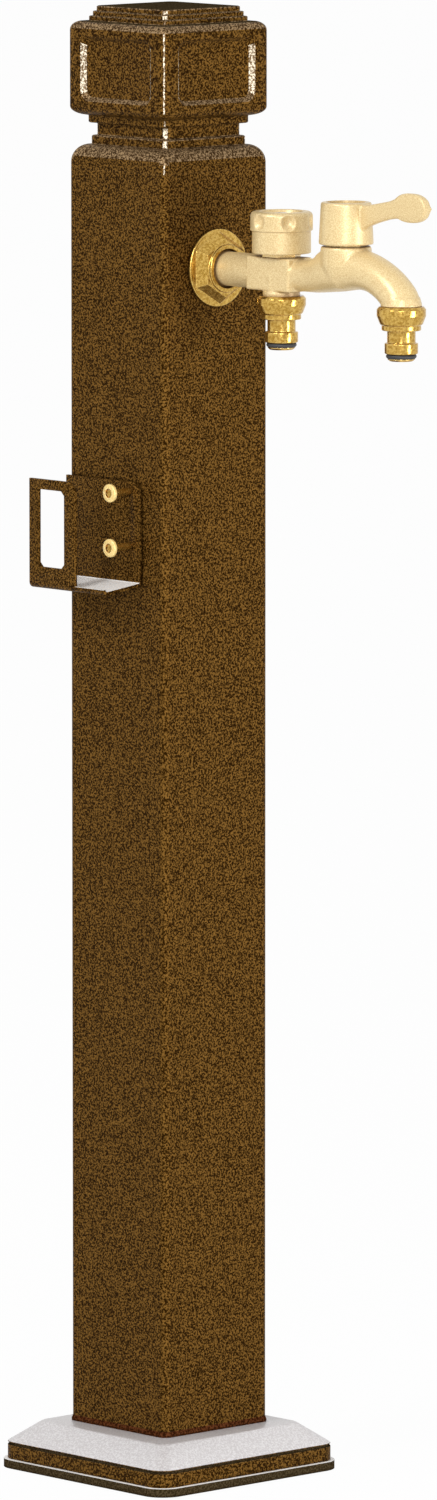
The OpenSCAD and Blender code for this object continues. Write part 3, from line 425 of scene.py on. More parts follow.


# edge is the colour of a painted highlight on turned edges; the crevice colour, reach and gain give painted
# shade in corners and grooves
looks = {
    "bronze_coat": {
        "dark": (0.019, 0.0075, 0.0010), "light": (0.188, 0.093, 0.019),
        "edge": (0.62, 0.46, 0.27), "crevice": (0.012, 0.005, 0.001),
        "effect": speckleEffect, "grainScale": 930.0, "swirl": 0.4, "dotted": 0.75, "upright": 2.2,
        "creviceReach": 3.5, "grime": 0.85,
        "metallic": 0.35, "specular": 0.0, "roughLow": 0.34, "roughHigh": 0.48,
        "edgeWidth": 0.9, "edgeGain": 3.0, "bump": 0.7, "bumpHeight": 0.3,
    },
    "cast_brass": {
        "dark": (0.62, 0.43, 0.19), "light": (0.82, 0.66, 0.36),
        "edge": (0.95, 0.86, 0.64), "crevice": (0.26, 0.12, 0.03),
        "effect": grainEffect, "grainScale": 1500.0, "creviceReach": 5.0, "grime": 0.9,
        "metallic": 0.2, "specular": 0.5, "roughLow": 0.28, "roughHigh": 0.40,
        "edgeWidth": 0.6, "edgeGain": 2.5, "bump": 0.35, "bumpHeight": 0.12,
    },
    "polished_brass": {
        "dark": (0.40, 0.22, 0.03), "light": (0.70, 0.46, 0.12),
        "edge": (0.98, 0.88, 0.58), "crevice": (0.09, 0.038, 0.005),
        "effect": grainEffect, "grainScale": 700.0, "creviceReach": 4.0, "grime": 1.0,
        "metallic": 0.9, "roughLow": 0.14, "roughHigh": 0.22,
        "edgeWidth": 0.8, "edgeGain": 3.0, "bump": 0.12, "bumpHeight": 0.05,
    },
    "machined_brass": {
        "dark": (0.70, 0.49, 0.20), "light": (0.80, 0.60, 0.30),
        "edge": (0.90, 0.74, 0.42), "crevice": (0.20, 0.10, 0.03),
        "effect": grainEffect, "grainScale": 1100.0,
        "metallic": 1.0, "roughLow": 0.24, "roughHigh": 0.34,
        "edgeWidth": 0.4, "edgeGain": 2.0, "bump": 0.2, "bumpHeight": 0.06,
    },
    "stainless_steel": {
        "dark": (0.55, 0.55, 0.55), "light": (0.70, 0.70, 0.70),
        "edge": (0.82, 0.82, 0.82), "crevice": (0.12, 0.11, 0.10),
        "effect": grainEffect, "grainScale": 1200.0,
        "metallic": 1.0, "roughLow": 0.25, "roughHigh": 0.38,
        "edgeWidth": 0.4, "edgeGain": 2.0, "bump": 0.15, "bumpHeight": 0.05,
    },
    "chromed_ball": {
        "dark": (0.76, 0.76, 0.78), "light": (0.84, 0.84, 0.86),
        "edge": (0.92, 0.92, 0.94), "crevice": (0.30, 0.30, 0.31),
        "effect": grainEffect, "grainScale": 600.0,
        "metallic": 1.0, "roughLow": 0.06, "roughHigh": 0.12,
        "edgeWidth": 0.3, "edgeGain": 1.5, "bump": 0.05, "bumpHeight": 0.03,
    },
    "black_rubber": {
        "dark": (0.018, 0.018, 0.019), "light": (0.04, 0.04, 0.042),
        "edge": (0.07, 0.07, 0.07), "crevice": (0.008, 0.008, 0.008),
        "effect": grainEffect, "grainScale": 1400.0,
        "metallic": 0.0, "roughLow": 0.45, "roughHigh": 0.65,
        "edgeWidth": 0.3, "edgeGain": 1.0, "bump": 0.25, "bumpHeight": 0.05,
    },
    "white_seal": {
        "dark": (0.78, 0.78, 0.76), "light": (0.88, 0.88, 0.86),
        "edge": (0.93, 0.93, 0.92), "crevice": (0.45, 0.44, 0.42),
        "effect": grainEffect, "grainScale": 900.0,
        "metallic": 0.0, "roughLow": 0.4, "roughHigh": 0.55,
        "edgeWidth": 0.3, "edgeGain": 1.0, "bump": 0.1, "bumpHeight": 0.04,
    },
}
materials = {slotName: makeMaterial(slotName, look) for slotName, look in looks.items()}


def makeVariant(name, slotName, **changes):          # a place on a piece whose finish differs a little
    look = dict(looks[slotName])
    look.update(changes)
    return makeMaterial(name, look)


sheenPaintedTop = makeVariant(                             # painted reflection: the sloping top of the base made near-white, as the sky shows in it
    "sheen_painted_top", "bronze_coat", dark=(0.58, 0.55, 0.55), light=(0.72, 0.70, 0.70),
    edge=(0.80, 0.77, 0.76), crevice=(0.16, 0.07, 0.03), creviceReach=2.0, grime=0.5,
    metallic=0.2, specular=0.5, roughLow=0.3, roughHigh=0.42, bump=0.2)
shadePaintedCoat = makeVariant(                               # painted shade: the cap's roof, the groove and the plate's side made dark and matt
    "shade_painted_coat", "bronze_coat", dark=(0.03, 0.02, 0.008), light=(0.085, 0.06, 0.03), metallic=0.0)
lightPaintedRim = makeVariant(                               # painted light: rims of the cap that look up, made lighter as if lit from above
    "light_painted_rim", "bronze_coat", dark=(0.045, 0.022, 0.007), light=(0.34, 0.225, 0.115))
glintPaintedLine = makeVariant(                              # painted highlight: upright edges of the cap and its panels made pale as glints
    "glint_painted_line", "bronze_coat", dark=(0.16, 0.10, 0.05), light=(0.90, 0.80, 0.62), grime=0.0)
# the bracket's coat, its painted edge highlight dimmed to near the coat's own colour
sheetCoat = makeVariant("sheet_coat", "bronze_coat", edge=(0.16, 0.08, 0.02))
beadCoat = makeVariant(
    "bead_coat", "bronze_coat", dark=(0.025, 0.007, 0.002), light=(0.11, 0.035, 0.012), metallic=0.0)
pegBrass = makeVariant(
    "peg_brass", "cast_brass", dark=(0.78, 0.52, 0.16), light=(0.95, 0.74, 0.32), crevice=(0.40, 0.20, 0.03))
sheenPaintedLip = makeVariant(                             # painted reflection: the plate's lip and the bracket's shelf made near-white
    "sheen_painted_lip", "white_seal", dark=(0.86, 0.83, 0.80), light=(0.95, 0.93, 0.91), grime=0.2)
print("materials made:", len(bpy.data.materials))


def paint(piece, finishes, pick):                    # pick gives a face the number of its finish
    for finish in finishes:
        piece.data.materials.append(finish)
    for face in piece.data.polygons:
        face.material_index = pick(face)


def settle(piece, body, slotName, *replaced):
    if not any(piece.data.materials):
        piece.data.materials.clear()
        piece.data.materials.append(materials[slotName])
    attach(piece, body)
    if replaced:
        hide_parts(*replaced)
    return piece


# Column cap

cap = {
    "foot": 744.0, "post": 80.0, "corner": 4.0, "cornerSteps": 7,
    "plug": 75.4, "plugLength": 22.0, "plugCorner": 2.0,
    "shoulder": 13.5, "shoulderStraight": 3.5, "shoulderInset": 7.5, "shoulderSteps": 9,
    "mouldings": [                                   # width, height, lower and upper rounding
        (63.5, 5.0, 0.6, 0.9), (59.0, 7.0, 0.7, 0.7), (66.0, 4.4, 0.9, 0.8),
    ],
    "box": 80.8, "boxUnder": 5.0, "boxHeight": 43.0, "boxEdge": 5.0, "boxSteps": 8, "boxMargin": 0.2,
    "step": 65.5, "stepHeight": 5.5, "stepRidges": 2, "stepRound": 0.5, "treadRound": 0.4,
    "slab": 59.5, "slabHeight": 3.0, "slabRound": 0.9, "slabRim": 6.0,
    "panel": (29.8, 18.8, 6.5), "panelSlope": 3.3, "panelDepth": 3.0, "panelEase": [(0.5, 0.08), (0.9, 0.3)],
    "panelTighten": 0.6, "panelLeast": 1.0,
    "roofLean": 0.8, "roofDrop": 0.5, "wallLean": 0.3, "rimLean": 0.2,
    "panelMargin": 0.2, "panelSlant": 0.4, "cornerSlant": 0.69, "near": 0.0001,
}


def panelLoop(a, b, r, arcSteps=4):
    loop = []
    for corner, (cx, cz) in enumerate(((-1, -1), (1, -1), (1, 1), (-1, 1))):
        for k in range(2 * arcSteps + 1):
            angle = math.pi + quarter * corner + quarter * k / (2 * arcSteps)
            loop.append((cx * (a - r) + r * math.cos(angle), cz * (b - r) + r * math.sin(angle)))
    return loop


def capOutlines(c):                                  # half widths and heights below and above the box's face
    half = c["box"] / 2
    post = c["post"] / 2
    rise = c["shoulder"] - c["shoulderStraight"]
    outline = [(post, 0, 0)]
    for k in range(c["shoulderSteps"] + 1):
        angle = quarter * k / c["shoulderSteps"]
        inset = c["shoulderInset"] * (1 - math.cos(angle))
        outline.append((post - inset, c["shoulderStraight"] + rise * math.sin(angle), 0))
    z = c["shoulder"]
    for width, height, lowRound, highRound in c["mouldings"]:
        outline += [(width / 2, z, lowRound), (width / 2, z + height, highRound)]
        z += height
    for k in range(1, c["boxSteps"] + 1):
        angle = quarter * k / c["boxSteps"]
        flare = (half - width / 2) * math.sin(angle)
        outline.append((width / 2 + flare, z + c["boxUnder"] * (1 - math.cos(angle)), 0))
    boxFoot = z + c["boxUnder"]
    boxTop = boxFoot + c["boxHeight"]
    outline.append((half, boxFoot + c["boxMargin"], 0))
    upper = [(half, boxTop - c["boxMargin"])]
    for k in range(1, c["boxSteps"] + 1):
        angle = quarter * k / c["boxSteps"]
        inset = c["boxEdge"] * (1 - math.cos(angle))
        upper.append((half - inset, boxTop + c["boxEdge"] * math.sin(angle)))
    z = boxTop + c["boxEdge"]
    step = c["step"] / 2
    tail = [(*upper[-1], 0), (step, z, c["stepRound"])]
    tread = (c["step"] - c["slab"]) / 2 / c["stepRidges"]
    for k in range(c["stepRidges"]):                 # small ridges up the step
        high = z + c["stepHeight"] * (k + 1) / c["stepRidges"]
        tail.append((step - tread * k, high, c["stepRound"]))
        tail.append((step - tread * (k + 1), high, c["treadRound"]))
    z += c["stepHeight"] + c["slabHeight"]
    tail += [(c["slab"] / 2, z, c["slabRound"]), (c["slab"] / 2 - c["slabRim"], z, 0)]
    return fillet(outline, closed=False), upper + fillet(tail, closed=False)[1:], boxFoot


def makeCap(c):
    half = c["box"] / 2
    straight = half - c["corner"]
    near = c["near"]
    a, b, r = c["panel"]
    base = panelLoop(a, b, r)
    topX = a - r + r * math.sqrt(0.5)
    topZ = b - r + r * math.sqrt(0.5)
    cuts = sorted({round(x / topX, 6) for x, z in base if abs(z) >= topZ - near})
    rows = sorted({round(z / topZ, 6) for x, z in base if abs(x) >= topX - near})
    lower, upper, boxFoot = capOutlines(c)
    boxTop = boxFoot + c["boxHeight"]
    faceLow = boxFoot + c["boxMargin"]
    faceHigh = boxTop - c["boxMargin"]
    mid = (faceLow + faceHigh) / 2
    faceHalf = (faceHigh - faceLow) / 2

    def ringAt(h, corner, z):
        return squareRing(h, corner, z, cuts, c["cornerSteps"])

    rings = [ringAt(c["plug"] / 2, c["plugCorner"], z) for z in (-c["plugLength"], 0)]
    rings += [ringAt(h, min(c["corner"], h - 1), z) for h, z in lower]
    first = len(rings) - 1
    rings += [ringAt(half, c["corner"], mid + faceHalf * row) for row in rows[1:-1]]
    last = len(rings)
    rings += [ringAt(h, min(c["corner"], h - 1), z) for h, z in upper]
    perSide = len(rings[0]) // 4
    verts, faces = tower(rings, skip=lambda i, k: first <= i < last and k % perSide < len(cuts) - 1)
    edge = c["panelSlope"]
    depth = c["panelDepth"]
    ease = c["panelEase"]
    sections = [(0, 0), *ease, *((edge - x, depth - y) for x, y in ease[::-1]), (edge, depth)]
    for side in range(4):
        ch = round(math.cos(quarter * side))
        sh = round(math.sin(quarter * side))
        border = []
        for x, z in base:
            flatX = straight * x / topX if abs(z) >= topZ - near else math.copysign(straight, x)
            flatZ = faceHalf * z / topZ if abs(x) >= topX - near else math.copysign(faceHalf, z)
            border.append((half, flatX, mid + flatZ))
        loops = [border]
        for inset, sink in sections:
            ring = panelLoop(a - inset, b - inset, max(r - inset * c["panelTighten"], c["panelLeast"]))
            loops.append([(half - sink, x, mid + z) for x, z in ring])
        start = len(verts)
        for loop in loops:
            verts += [(x * ch - y * sh, x * sh + y * ch, z) for x, y, z in loop]
        count = len(base)
        for i in range(len(loops) - 1):
            for k in range(count):
                n = (k + 1) % count
                low = start + i * count
                faces.append([low + k, low + n, low + count + n, low + count + k])
        faces.append([start + (len(loops) - 1) * count + k for k in range(count)])
    piece = weld(addPiece("columnCap", [(x, y, z + c["foot"]) for x, y, z in verts], faces))
    roof = boxTop + c["boxEdge"] - c["roofDrop"] + c["foot"]

    # painted shade on the roof (1), painted highlight on upright panel borders and corners (3), painted
    # light on faces that look up (2)
    def pick(face):
        slant = min(abs(face.normal.x), abs(face.normal.y))
        onSide = min(abs(face.center.x), abs(face.center.y)) < (a + c["panelMargin"]) * mm
        if face.normal.z > c["roofLean"] and face.center.z > roof * mm:
            return 1
        if abs(face.normal.z) < c["wallLean"] and slant > c["panelSlant" if onSide else "cornerSlant"]:
            return 3
        return 2 if face.normal.z > c["rimLean"] else 0

    paint(piece, [materials["bronze_coat"], shadePaintedCoat, lightPaintedRim, glintPaintedLine], pick)
    return shade(piece, degrees=32)


settle(makeCap(cap), "standpipe", "bronze_coat", "column_cap")
print("cap made")


# Base: ground plate, cover and the bead round the foot of the column

base = {
    "plateHeight": 5.0, "plateEdge": 2.4, "lipLean": 0.1, "sideLean": -0.5,
    "cover": 137.0, "coverCorner": 11.0, "band": 10.0, "slopeRun": 15.0, "slope": 11.6, "crown": 0.4,
    "ridgeRound": 3.0, "wall": 2.0, "wallDrop": 0.5, "mouth": 80.6, "mouthCorner": 4.3, "cornerSteps": 8,
    "grooveLow": 2.0, "grooveHigh": 0.5, "grooveDeep": 0.9, "grooveRound": 0.2, "grooveMargin": 0.1,
    "topLean": 0.3,
    "post": 80.0, "postCorner": 4.0, "bead": 81.6, "beadHeight": 3.2, "beadSink": 0.3, "beadShare": 0.4,
    "beadRound": 0.4, "beadGaps": (0.05, 0.02),
}


def makeGroundPlate(b):
    plate = bake(bevel(copyNode("groundPlate", "ground_plate"), b["plateEdge"], segments=4, degrees=60))

    # painted reflection on the lip, which looks up (1); painted shade on the plate's side (2)
    def pick(face):
        if face.normal.z > b["lipLean"]:
            return 1
        return 2 if face.normal.z > b["sideLean"] else 0

    paint(plate, [materials["bronze_coat"], sheenPaintedLip, shadePaintedCoat], pick)
    return shade(plate, degrees=40)


def makeBaseCover(b):
    half = b["cover"] / 2
    foot = b["plateHeight"]
    bandTop = foot + b["band"]
    slopeTop = bandTop + b["slope"]
    crownTop = slopeTop + b["crown"]
    mouth = b["mouth"] / 2
    wall = b["wall"]
    ridge = half - b["slopeRun"]
    grooveLow = bandTop - b["grooveLow"]
    grooveHigh = bandTop - b["grooveHigh"]
    grooveX = half - b["grooveDeep"]
    soft = b["grooveRound"]
    outer = fillet([
        (half, foot, 0), (half, grooveLow, soft), (grooveX, grooveLow + soft, soft),
        (grooveX, grooveHigh - soft / 2, soft), (half, grooveHigh, soft / 2), (half - soft, bandTop, soft),
        (ridge, slopeTop, b["ridgeRound"]), (mouth, crownTop, 0),
    ], closed=False)
    inner = [
        (mouth, crownTop - wall), (ridge - wall, slopeTop - wall),
        (half - wall, bandTop - b["wallDrop"]), (half - wall, foot),
    ]
    rings = []
    for h, z in outer + inner:
        share = min(max((h - mouth) / (half - mouth), 0), 1)
        corner = b["mouthCorner"] + share * (b["coverCorner"] - b["mouthCorner"])
        rings.append(squareRing(h, corner, z, cornerSteps=b["cornerSteps"]))
    cover = weld(addPiece("baseCover", *tower(rings, closeEnds=False)))
    margin = b["grooveMargin"]

    # painted reflection on the sloping top (1); painted shade in the groove under the band's top (2)
    def pick(face):
        if face.normal.z > b["topLean"] and face.center.z > (bandTop - soft) * mm:
            return 1
        return 2 if grooveLow - margin < face.center.z / mm < grooveHigh + margin else 0

    paint(cover, [materials["bronze_coat"], sheenPaintedTop, shadePaintedCoat], pick)
    return shade(cover, degrees=32)


def makeFootBead(b):
    post = b["post"] / 2
    top = b["plateHeight"] + b["band"] + b["slope"] + b["crown"]
    low = top - b["beadSink"]
    high = top + b["beadHeight"]
    half = b["bead"] / 2
    highGap, lowGap = b["beadGaps"]
    outline = fillet([
        (half, low, 0), (half, top + b["beadHeight"] * b["beadShare"], b["beadRound"]),
        (post + highGap, high, 0),
    ], closed=False)
    rings = [squareRing(h, b["postCorner"] + h - post, z) for h, z in outline + [(post + lowGap, low)]]
    bead = weld(addPiece("footBead", *tower(rings, closeEnds=False)))
    bead.data.materials.append(beadCoat)
    return shade(bead, degrees=40)


settle(makeGroundPlate(base), "standpipe", "bronze_coat", "ground_plate")
settle(makeBaseCover(base), "standpipe", "bronze_coat", "base_cover")
settle(makeFootBead(base), "standpipe", "bronze_coat")
print("base made")


# Tap casting, with places from the column face and heights from the tap axis

tap = {
    "axis": 690.0, "face": 40.0,
    "tail": (-25.5, 8.0, 20.9), "shank": (0.0, 35.0, 19.3),
    "block": (34.0, 69.0, 9.5, 1.1),
    "spine": [
        (67, 0, 17.6), (75, 0, 18.0), (83, 0.8, 19.6), (90, 2.4, 21.8), (98, 4.4, 24.2), (106, 5.8, 25.0),
        (112.5, 6.2, 24.0), (119, 6.0, 22.4), (125.5, 5.0, 21.4), (131, 3.4, 20.9), (136.5, 1.0, 20.8),
        (141.7, -2.0, 20.8), (146.5, -5.8, 21.0), (149.5, -9.2, 21.3), (150.5, -12.3, 21.6),
    ],
    "chamber": (106.0, 18.5, 28.6), "chamberFoot": 8.0, "lid": 3.0, "lidInset": 1.6, "lidGap": 0.2,
    "chamberSkirt": [
        (0, -7), (7.5, -5.0), (10.6, -1.5), (12.8, 3.0), (14.1, 8.0), (14.3, 12.0), (0, 12),
    ],
    "shoulderWeb": [(90.0, 7.5, 13.0), (94.0, 9.5, 15.0)], "webReach": (6.0, 3.0), "webSwell": 2.0,
    "flare": (150.5, -12.3, 5.0, 23.4, 20.8),
    "sideStub": 53.5, "stub": 7.0, "stubLap": 2.0, "stubNeck": 1.4, "drop": 12.3,
    "castPasses": 30, "voxel": 0.5, "smoothPasses": 6,
    "tailBore": 11.0, "passage": 8.0, "passageStop": 5.0, "seatBore": (-4.5, 11.0, 14.4), "sideStop": -4.0,
    "ballRise": 6.0, "ballBore": (9.5, 13.3), "stemBore": (7.0, 15.6), "bonnetBore": (6.3, 2.0, 20.0),
    "spoutBore": 12.0, "spoutFrom": 6, "overrun": 1.0,
}


def makeTapBody(t):
    def at(x, z):
        return (t["face"] + x, 0, t["axis"] + z)

    tail, shank, flare = t["tail"], t["shank"], t["flare"]
    left, right, halfBlock, edge = t["block"]
    chamberX, chamberTop, chamberD = t["chamber"]
    rise = t["ballRise"]
    side = t["sideStub"]
    lap = t["stubLap"]
    over = t["overrun"]
    stubTop = -t["drop"]
    stubEnd = stubTop - t["stub"]
    lidD = chamberD - t["lidInset"]
    neckD = tail[2] - t["stubNeck"]
    webX, webZ = t["webReach"]
    cast = [
        spineMesh([(t["face"] + x, t["axis"] + z, d) for x, z, d in t["spine"]]),
        rodMesh(at(chamberX, t["chamberFoot"]), at(chamberX, chamberTop - t["lidGap"]), chamberD),
        lathe("skirt", t["chamberSkirt"], at(chamberX, 0), closed=False),
    ]
    for x, z, d in t["shoulderWeb"]:
        cast.append(rodMesh(at(x - webX, z - webZ), at(x + webX, z + webZ), d, d + t["webSwell"]))
    parts = [
        fuse("cast", cast, t["voxel"], t["castPasses"]),
        rodMesh(at(chamberX, chamberTop - t["lid"]), at(chamberX, chamberTop), lidD),
        rodMesh(at(tail[0], 0), at(tail[1], 0), tail[2]),
        rodMesh(at(shank[0], 0), at(shank[1], 0), shank[2]),
        blockMesh(
            (t["face"] + left, -halfBlock, t["axis"] - halfBlock),
            (t["face"] + right, halfBlock, t["axis"] + halfBlock), edge),
        rodMesh(at(flare[0], flare[1]), at(flare[0], flare[1] + flare[2]), flare[3], flare[4]),
        rodMesh(at(side, stubTop), at(side, 0), neckD),
        rodMesh(at(side, stubEnd), at(side, stubTop + lap), tail[2]),
        rodMesh(at(flare[0], stubEnd), at(flare[0], stubTop + lap), tail[2]),
    ]
    body = fuse("tapBody", parts, t["voxel"], t["smoothPasses"])
    seatLow, seatHigh, seatD = t["seatBore"]
    ballReach, ballD = t["ballBore"]
    stemHigh, stemD = t["stemBore"]
    bonnetLow, bonnetOver, bonnetD = t["bonnetBore"]
    spoutD = t["spoutBore"]
    bores = [
        rodMesh(at(tail[0] - over, 0), at(side, 0), t["tailBore"]),
        rodMesh(at(side, 0), at(chamberX - t["passageStop"], rise), t["passage"]),
        rodMesh(at(side, seatLow), at(side, seatHigh), seatD),
        rodMesh(at(side, stubEnd - over), at(side, t["sideStop"]), t["passage"]),
        rodMesh(at(chamberX - ballReach, rise), at(chamberX + ballReach, rise), ballD),
        rodMesh(at(chamberX, rise), at(chamberX, rise + stemHigh), stemD),
        rodMesh(at(chamberX, rise + bonnetLow), at(chamberX, chamberTop + bonnetOver), bonnetD),
        spineMesh([(t["face"] + x, t["axis"] + z, spoutD) for x, z, d in t["spine"][t["spoutFrom"]:]]),
        rodMesh(at(flare[0], stubEnd - over), at(flare[0], stubTop + over), spoutD),
    ]
    return shade(cut(body, bores), degrees=50)


settle(makeTapBody(tap), "standpipe", "cast_brass", "tap_body")
print("tap body made")


# Wall flange

flange = {
    "rim": 44.0, "rimThick": 2.2, "rimRound": (0.5, 0.9), "lining": 10.5, "hole": 21.0,
    "hexAcross": 41.0, "hexHeight": 6.0, "hexLap": 0.4, "hexLid": 0.05, "hexEdge": 0.7, "hexSwell": 1.0,
    "collar": 27.0, "collarHeight": 1.8, "collarFoot": 1.0, "collarRound": 0.8,
    "mouth": 11.2, "mouthRound": 0.4, "mouthDrop": 0.8,
    "voxel": 0.32, "passes": 2, "overrun": 1.0,
}


def makeFlange(f):
    sixth = math.pi / 6
    low = f["hexAcross"] * math.cos(sixth) / 2
    high = (f["collar"] + f["hexSwell"]) / 2
    foot = f["rimThick"]
    top = foot + f["hexHeight"]
    face, axis = tap["face"], tap["axis"]
    rings = []
    for radius, x in ((low, foot - f["hexLap"]), (low, foot), (high, top), (high, top + f["hexLid"])):
        ring = []
        for k in range(6):
            angle = math.tau * (k + 0.5) / 6 - sixth
            reach = radius / math.cos(sixth)
            ring.append((face + x, reach * math.sin(angle), axis + reach * math.cos(angle)))
        rings.append(ring)
    hexagon = bake(bevel(weld(addPiece("hex", *tower(rings))), f["hexEdge"], degrees=20))
    lining = f["lining"]
    rim = f["rim"] / 2
    rimCorners = [(lining, 0), (rim, 0), (rim, foot), (lining, foot)]
    rimProfile = rounded(rimCorners, (0, *f["rimRound"], 0))
    collar = f["collar"] / 2
    collarTop = top + f["collarHeight"]
    collarCorners = [
        (lining, f["collarFoot"]), (collar, f["collarFoot"]), (collar, collarTop),
        (f["mouth"], collarTop), (lining, collarTop - f["mouthDrop"]),
    ]
    collarProfile = rounded(collarCorners, (0, 0, f["collarRound"], f["mouthRound"], 0))
    parts = [
        hexagon,
        lathe("rim", rimProfile, (face, 0, axis), toX=True),
        lathe("collar", collarProfile, (face, 0, axis), toX=True),
    ]
    piece = fuse("wallFlange", parts, f["voxel"], f["passes"])
    start = (face - f["overrun"], 0, axis)
    end = (face + collarTop + f["overrun"], 0, axis)
    return shade(cut(piece, [rodMesh(start, end, f["hole"])]), degrees=40)


settle(makeFlange(flange), "standpipe", "polished_brass", "wall_flange")
print("flange made")


# Knob of the screw valve

knob = {
    "foot": 11.5, "skirt": 33.0, "skirtHeight": 12.4, "grip": 35.0, "gripHeight": 11.0, "gripLead": 0.5,
    "wall": 3.0, "recess": 22.0, "recessDepth": 3.0, "recessLean": 1.0, "hole": 7.1,
    "rounding": (0, 0.8, 0.4, 0.7, 0.3, 0.5, 4.0, 0.8, 0.6, 0), "roundSteps": 40,
    "hollows": 6, "hollowR": 5.5, "hollowSink": 2.2, "hollowRise": 5.6, "hollowLip": 0.5,
    "ringGap": 0.45, "steps": 240,
}


def makeKnob(k):
    skirt = k["skirt"] / 2
    grip = k["grip"] / 2
    foot = k["foot"]
    floor = foot + k["skirtHeight"]
    top = floor + k["gripHeight"]
    hole = k["hole"] / 2
    recess = k["recess"] / 2
    rim = recess + k["recessLean"]
    ceiling = floor - k["wall"] / 2
    inside = skirt - k["wall"]
    corners = [
        (hole, ceiling), (inside, ceiling), (inside, foot), (skirt, foot), (skirt, floor),
        (grip, floor + k["gripLead"]), (grip, top), (rim, top),
        (recess, top - k["recessDepth"]), (hole, top - k["recessDepth"]),
    ]
    outline = rounded(corners, k["rounding"], stepsPerTurn=k["roundSteps"])
    profile = []
    for i, here in enumerate(outline):               # finer rings where the hollows are
        there = outline[(i + 1) % len(outline)]
        gap = math.dist(here, there)
        pieces = max(1, math.ceil(gap / k["ringGap"])) if min(here[0], there[0]) > rim else 1
        for j in range(pieces):
            t = j / pieces
            profile.append((here[0] + (there[0] - here[0]) * t, here[1] + (there[1] - here[1]) * t))

    def scoop(r, z, angle):                          # the radius with the thumb hollows taken out
        if r < rim:
            return r
        pitch = math.tau / k["hollows"]
        off = (angle % pitch) - pitch / 2
        reach = grip + k["hollowR"] - k["hollowSink"]
        rise = z - floor - k["hollowRise"]
        depth = (reach * math.cos(off)) ** 2 - reach ** 2 - rise ** 2 + k["hollowR"] ** 2
        if depth <= 0:
            return r
        near = reach * math.cos(off) - math.sqrt(depth)
        gap = (r - near) / k["hollowLip"]
        blend = max(1 - abs(gap), 0) ** 2 * k["hollowLip"] / 4
        return min(r, near) - blend

    centre = (tap["face"] + tap["sideStub"], 0, tap["axis"])
    return shade(lathe("tapKnob", profile, centre, steps=k["steps"], shape=scoop), degrees=45)


settle(makeKnob(knob), "knob", "cast_brass", "tap_knob")
print("knob made")


# Lever of the ball valve

lever = {
    "foot": 19.5, "hubFoot": 30.6, "hub": 28.2, "hubHeight": 23.5, "rounding": (0, 0.8, 1.2, 0),
    "wall": 1.9, "webTop": 39.5, "webBottom": 31.0, "recess": 22.0, "drive": 6.1, "driveCorners": 1.42,
    "arm": [                                         # distance from the hub's axis, middle height, height
        (9, 33.6, 17.2), (13, 34.6, 15.4), (17, 35.9, 13.2), (21, 36.9, 11.8), (27, 38.4, 10.8),
        (36, 40.4, 10.2), (42, 41.8, 11.5), (48, 42.4, 13.5),
    ],
    "thick": 5.5, "paddle": (52.5, 42.5, 27.0, 16.4),
    "paddleSteps": 12, "paddleFull": 2.6, "paddleLeast": 0.0004, "voxel": 0.45, "passes": 5, "overrun": 1.0,
}


def flatBar(points, thick, steps=24):                # an upright bar along +X, points of (x, middle, height)
    rings = []
    for x, z, h in points:
        ring = []
        for k in range(steps):
            angle = math.tau * k / steps
            c = math.cos(angle)
            s = math.sin(angle)
            y = thick / 2 * math.copysign(abs(c) ** 0.5, c)
            ring.append((x, y, z + h / 2 * math.copysign(abs(s) ** 0.5, s)))
        rings.append(ring)
    return weld(addPiece("bar", *tower(rings)))


def makeLever(v):
    axis = tap["axis"]
    middle = tap["face"] + tap["chamber"][0]
    foot = v["foot"]
    top = foot + v["hubHeight"]
    corners = [(0, foot), (v["hubFoot"] / 2, foot), (v["hub"] / 2, top), (0, top)]
    outline = rounded(corners, v["rounding"], closed=False)
    px, pz, length, height = v["paddle"]
    blobs = []
    for k in range(v["paddleSteps"] + 1):            # the round paddle, fuller in its middle
        t = -1 + k / (v["paddleSteps"] / 2)
        reach = math.sqrt(max(1 - abs(t) ** v["paddleFull"], v["paddleLeast"]))
        blobs.append((middle + px + t * length / 2, axis + pz, height * reach))
    parts = [
        lathe("hub", outline, (middle, 0, axis), closed=False),
        flatBar([(middle + x, axis + z, h) for x, z, h in v["arm"]], v["thick"]),
        flatBar(blobs, v["thick"]),
    ]
    piece = fuse("leverHandle", parts, v["voxel"], v["passes"])
    cutters = []
    for low, high, d in (
        (foot - v["overrun"], v["webBottom"], v["hub"] - 2 * v["wall"]),
        (v["webTop"], top + v["overrun"], v["recess"]),
        (foot, top, v["drive"] * v["driveCorners"]),
    ):
        cutters.append(rodMesh((middle, 0, axis + low), (middle, 0, axis + high), d))
    return shade(cut(piece, cutters), degrees=50)


settle(makeLever(lever), "lever", "cast_brass", "lever_handle")
print("lever made")


# Hose nipples

nipple = {
    "outline": [                                     # radius, height under the tap's end, rounding
        (10.5, 0, 0), (12.4, 0, 0.4), (13.7, -1.5, 0.6), (13.7, -5.2, 1.2), (12.0, -9.7, 0.8),
        (11.0, -10.5, 0.3), (11.0, -13.3, 0.6), (7.9, -13.3, 0.8), (7.9, -20.1, 0.6), (9.3, -20.3, 0.6),
        (9.3, -26.3, 0.7), (5.9, -26.3, 0.2), (5.9, -28.9, 0.2), (7.7, -28.9, 0.3), (7.7, -29.3, 0.3),
        (6.6, -30.3, 0.3), (4.75, -30.3, 0.3), (4.75, -9.0, 0), (10.5, -9.0, 0),
    ],
}


def makeNipple(name, x):
    centre = (tap["face"] + x, 0, tap["axis"] - tap["drop"])
    return shade(lathe(name, fillet(nipple["outline"]), centre), degrees=35)


settle(makeNipple("sideNipple", tap["sideStub"]), "standpipe", "polished_brass", "side_nipple")
settle(makeNipple("spoutNipple", tap["flare"][0]), "standpipe", "polished_brass", "spout_nipple")
print("nipples made")


# Hose bracket and its pegs

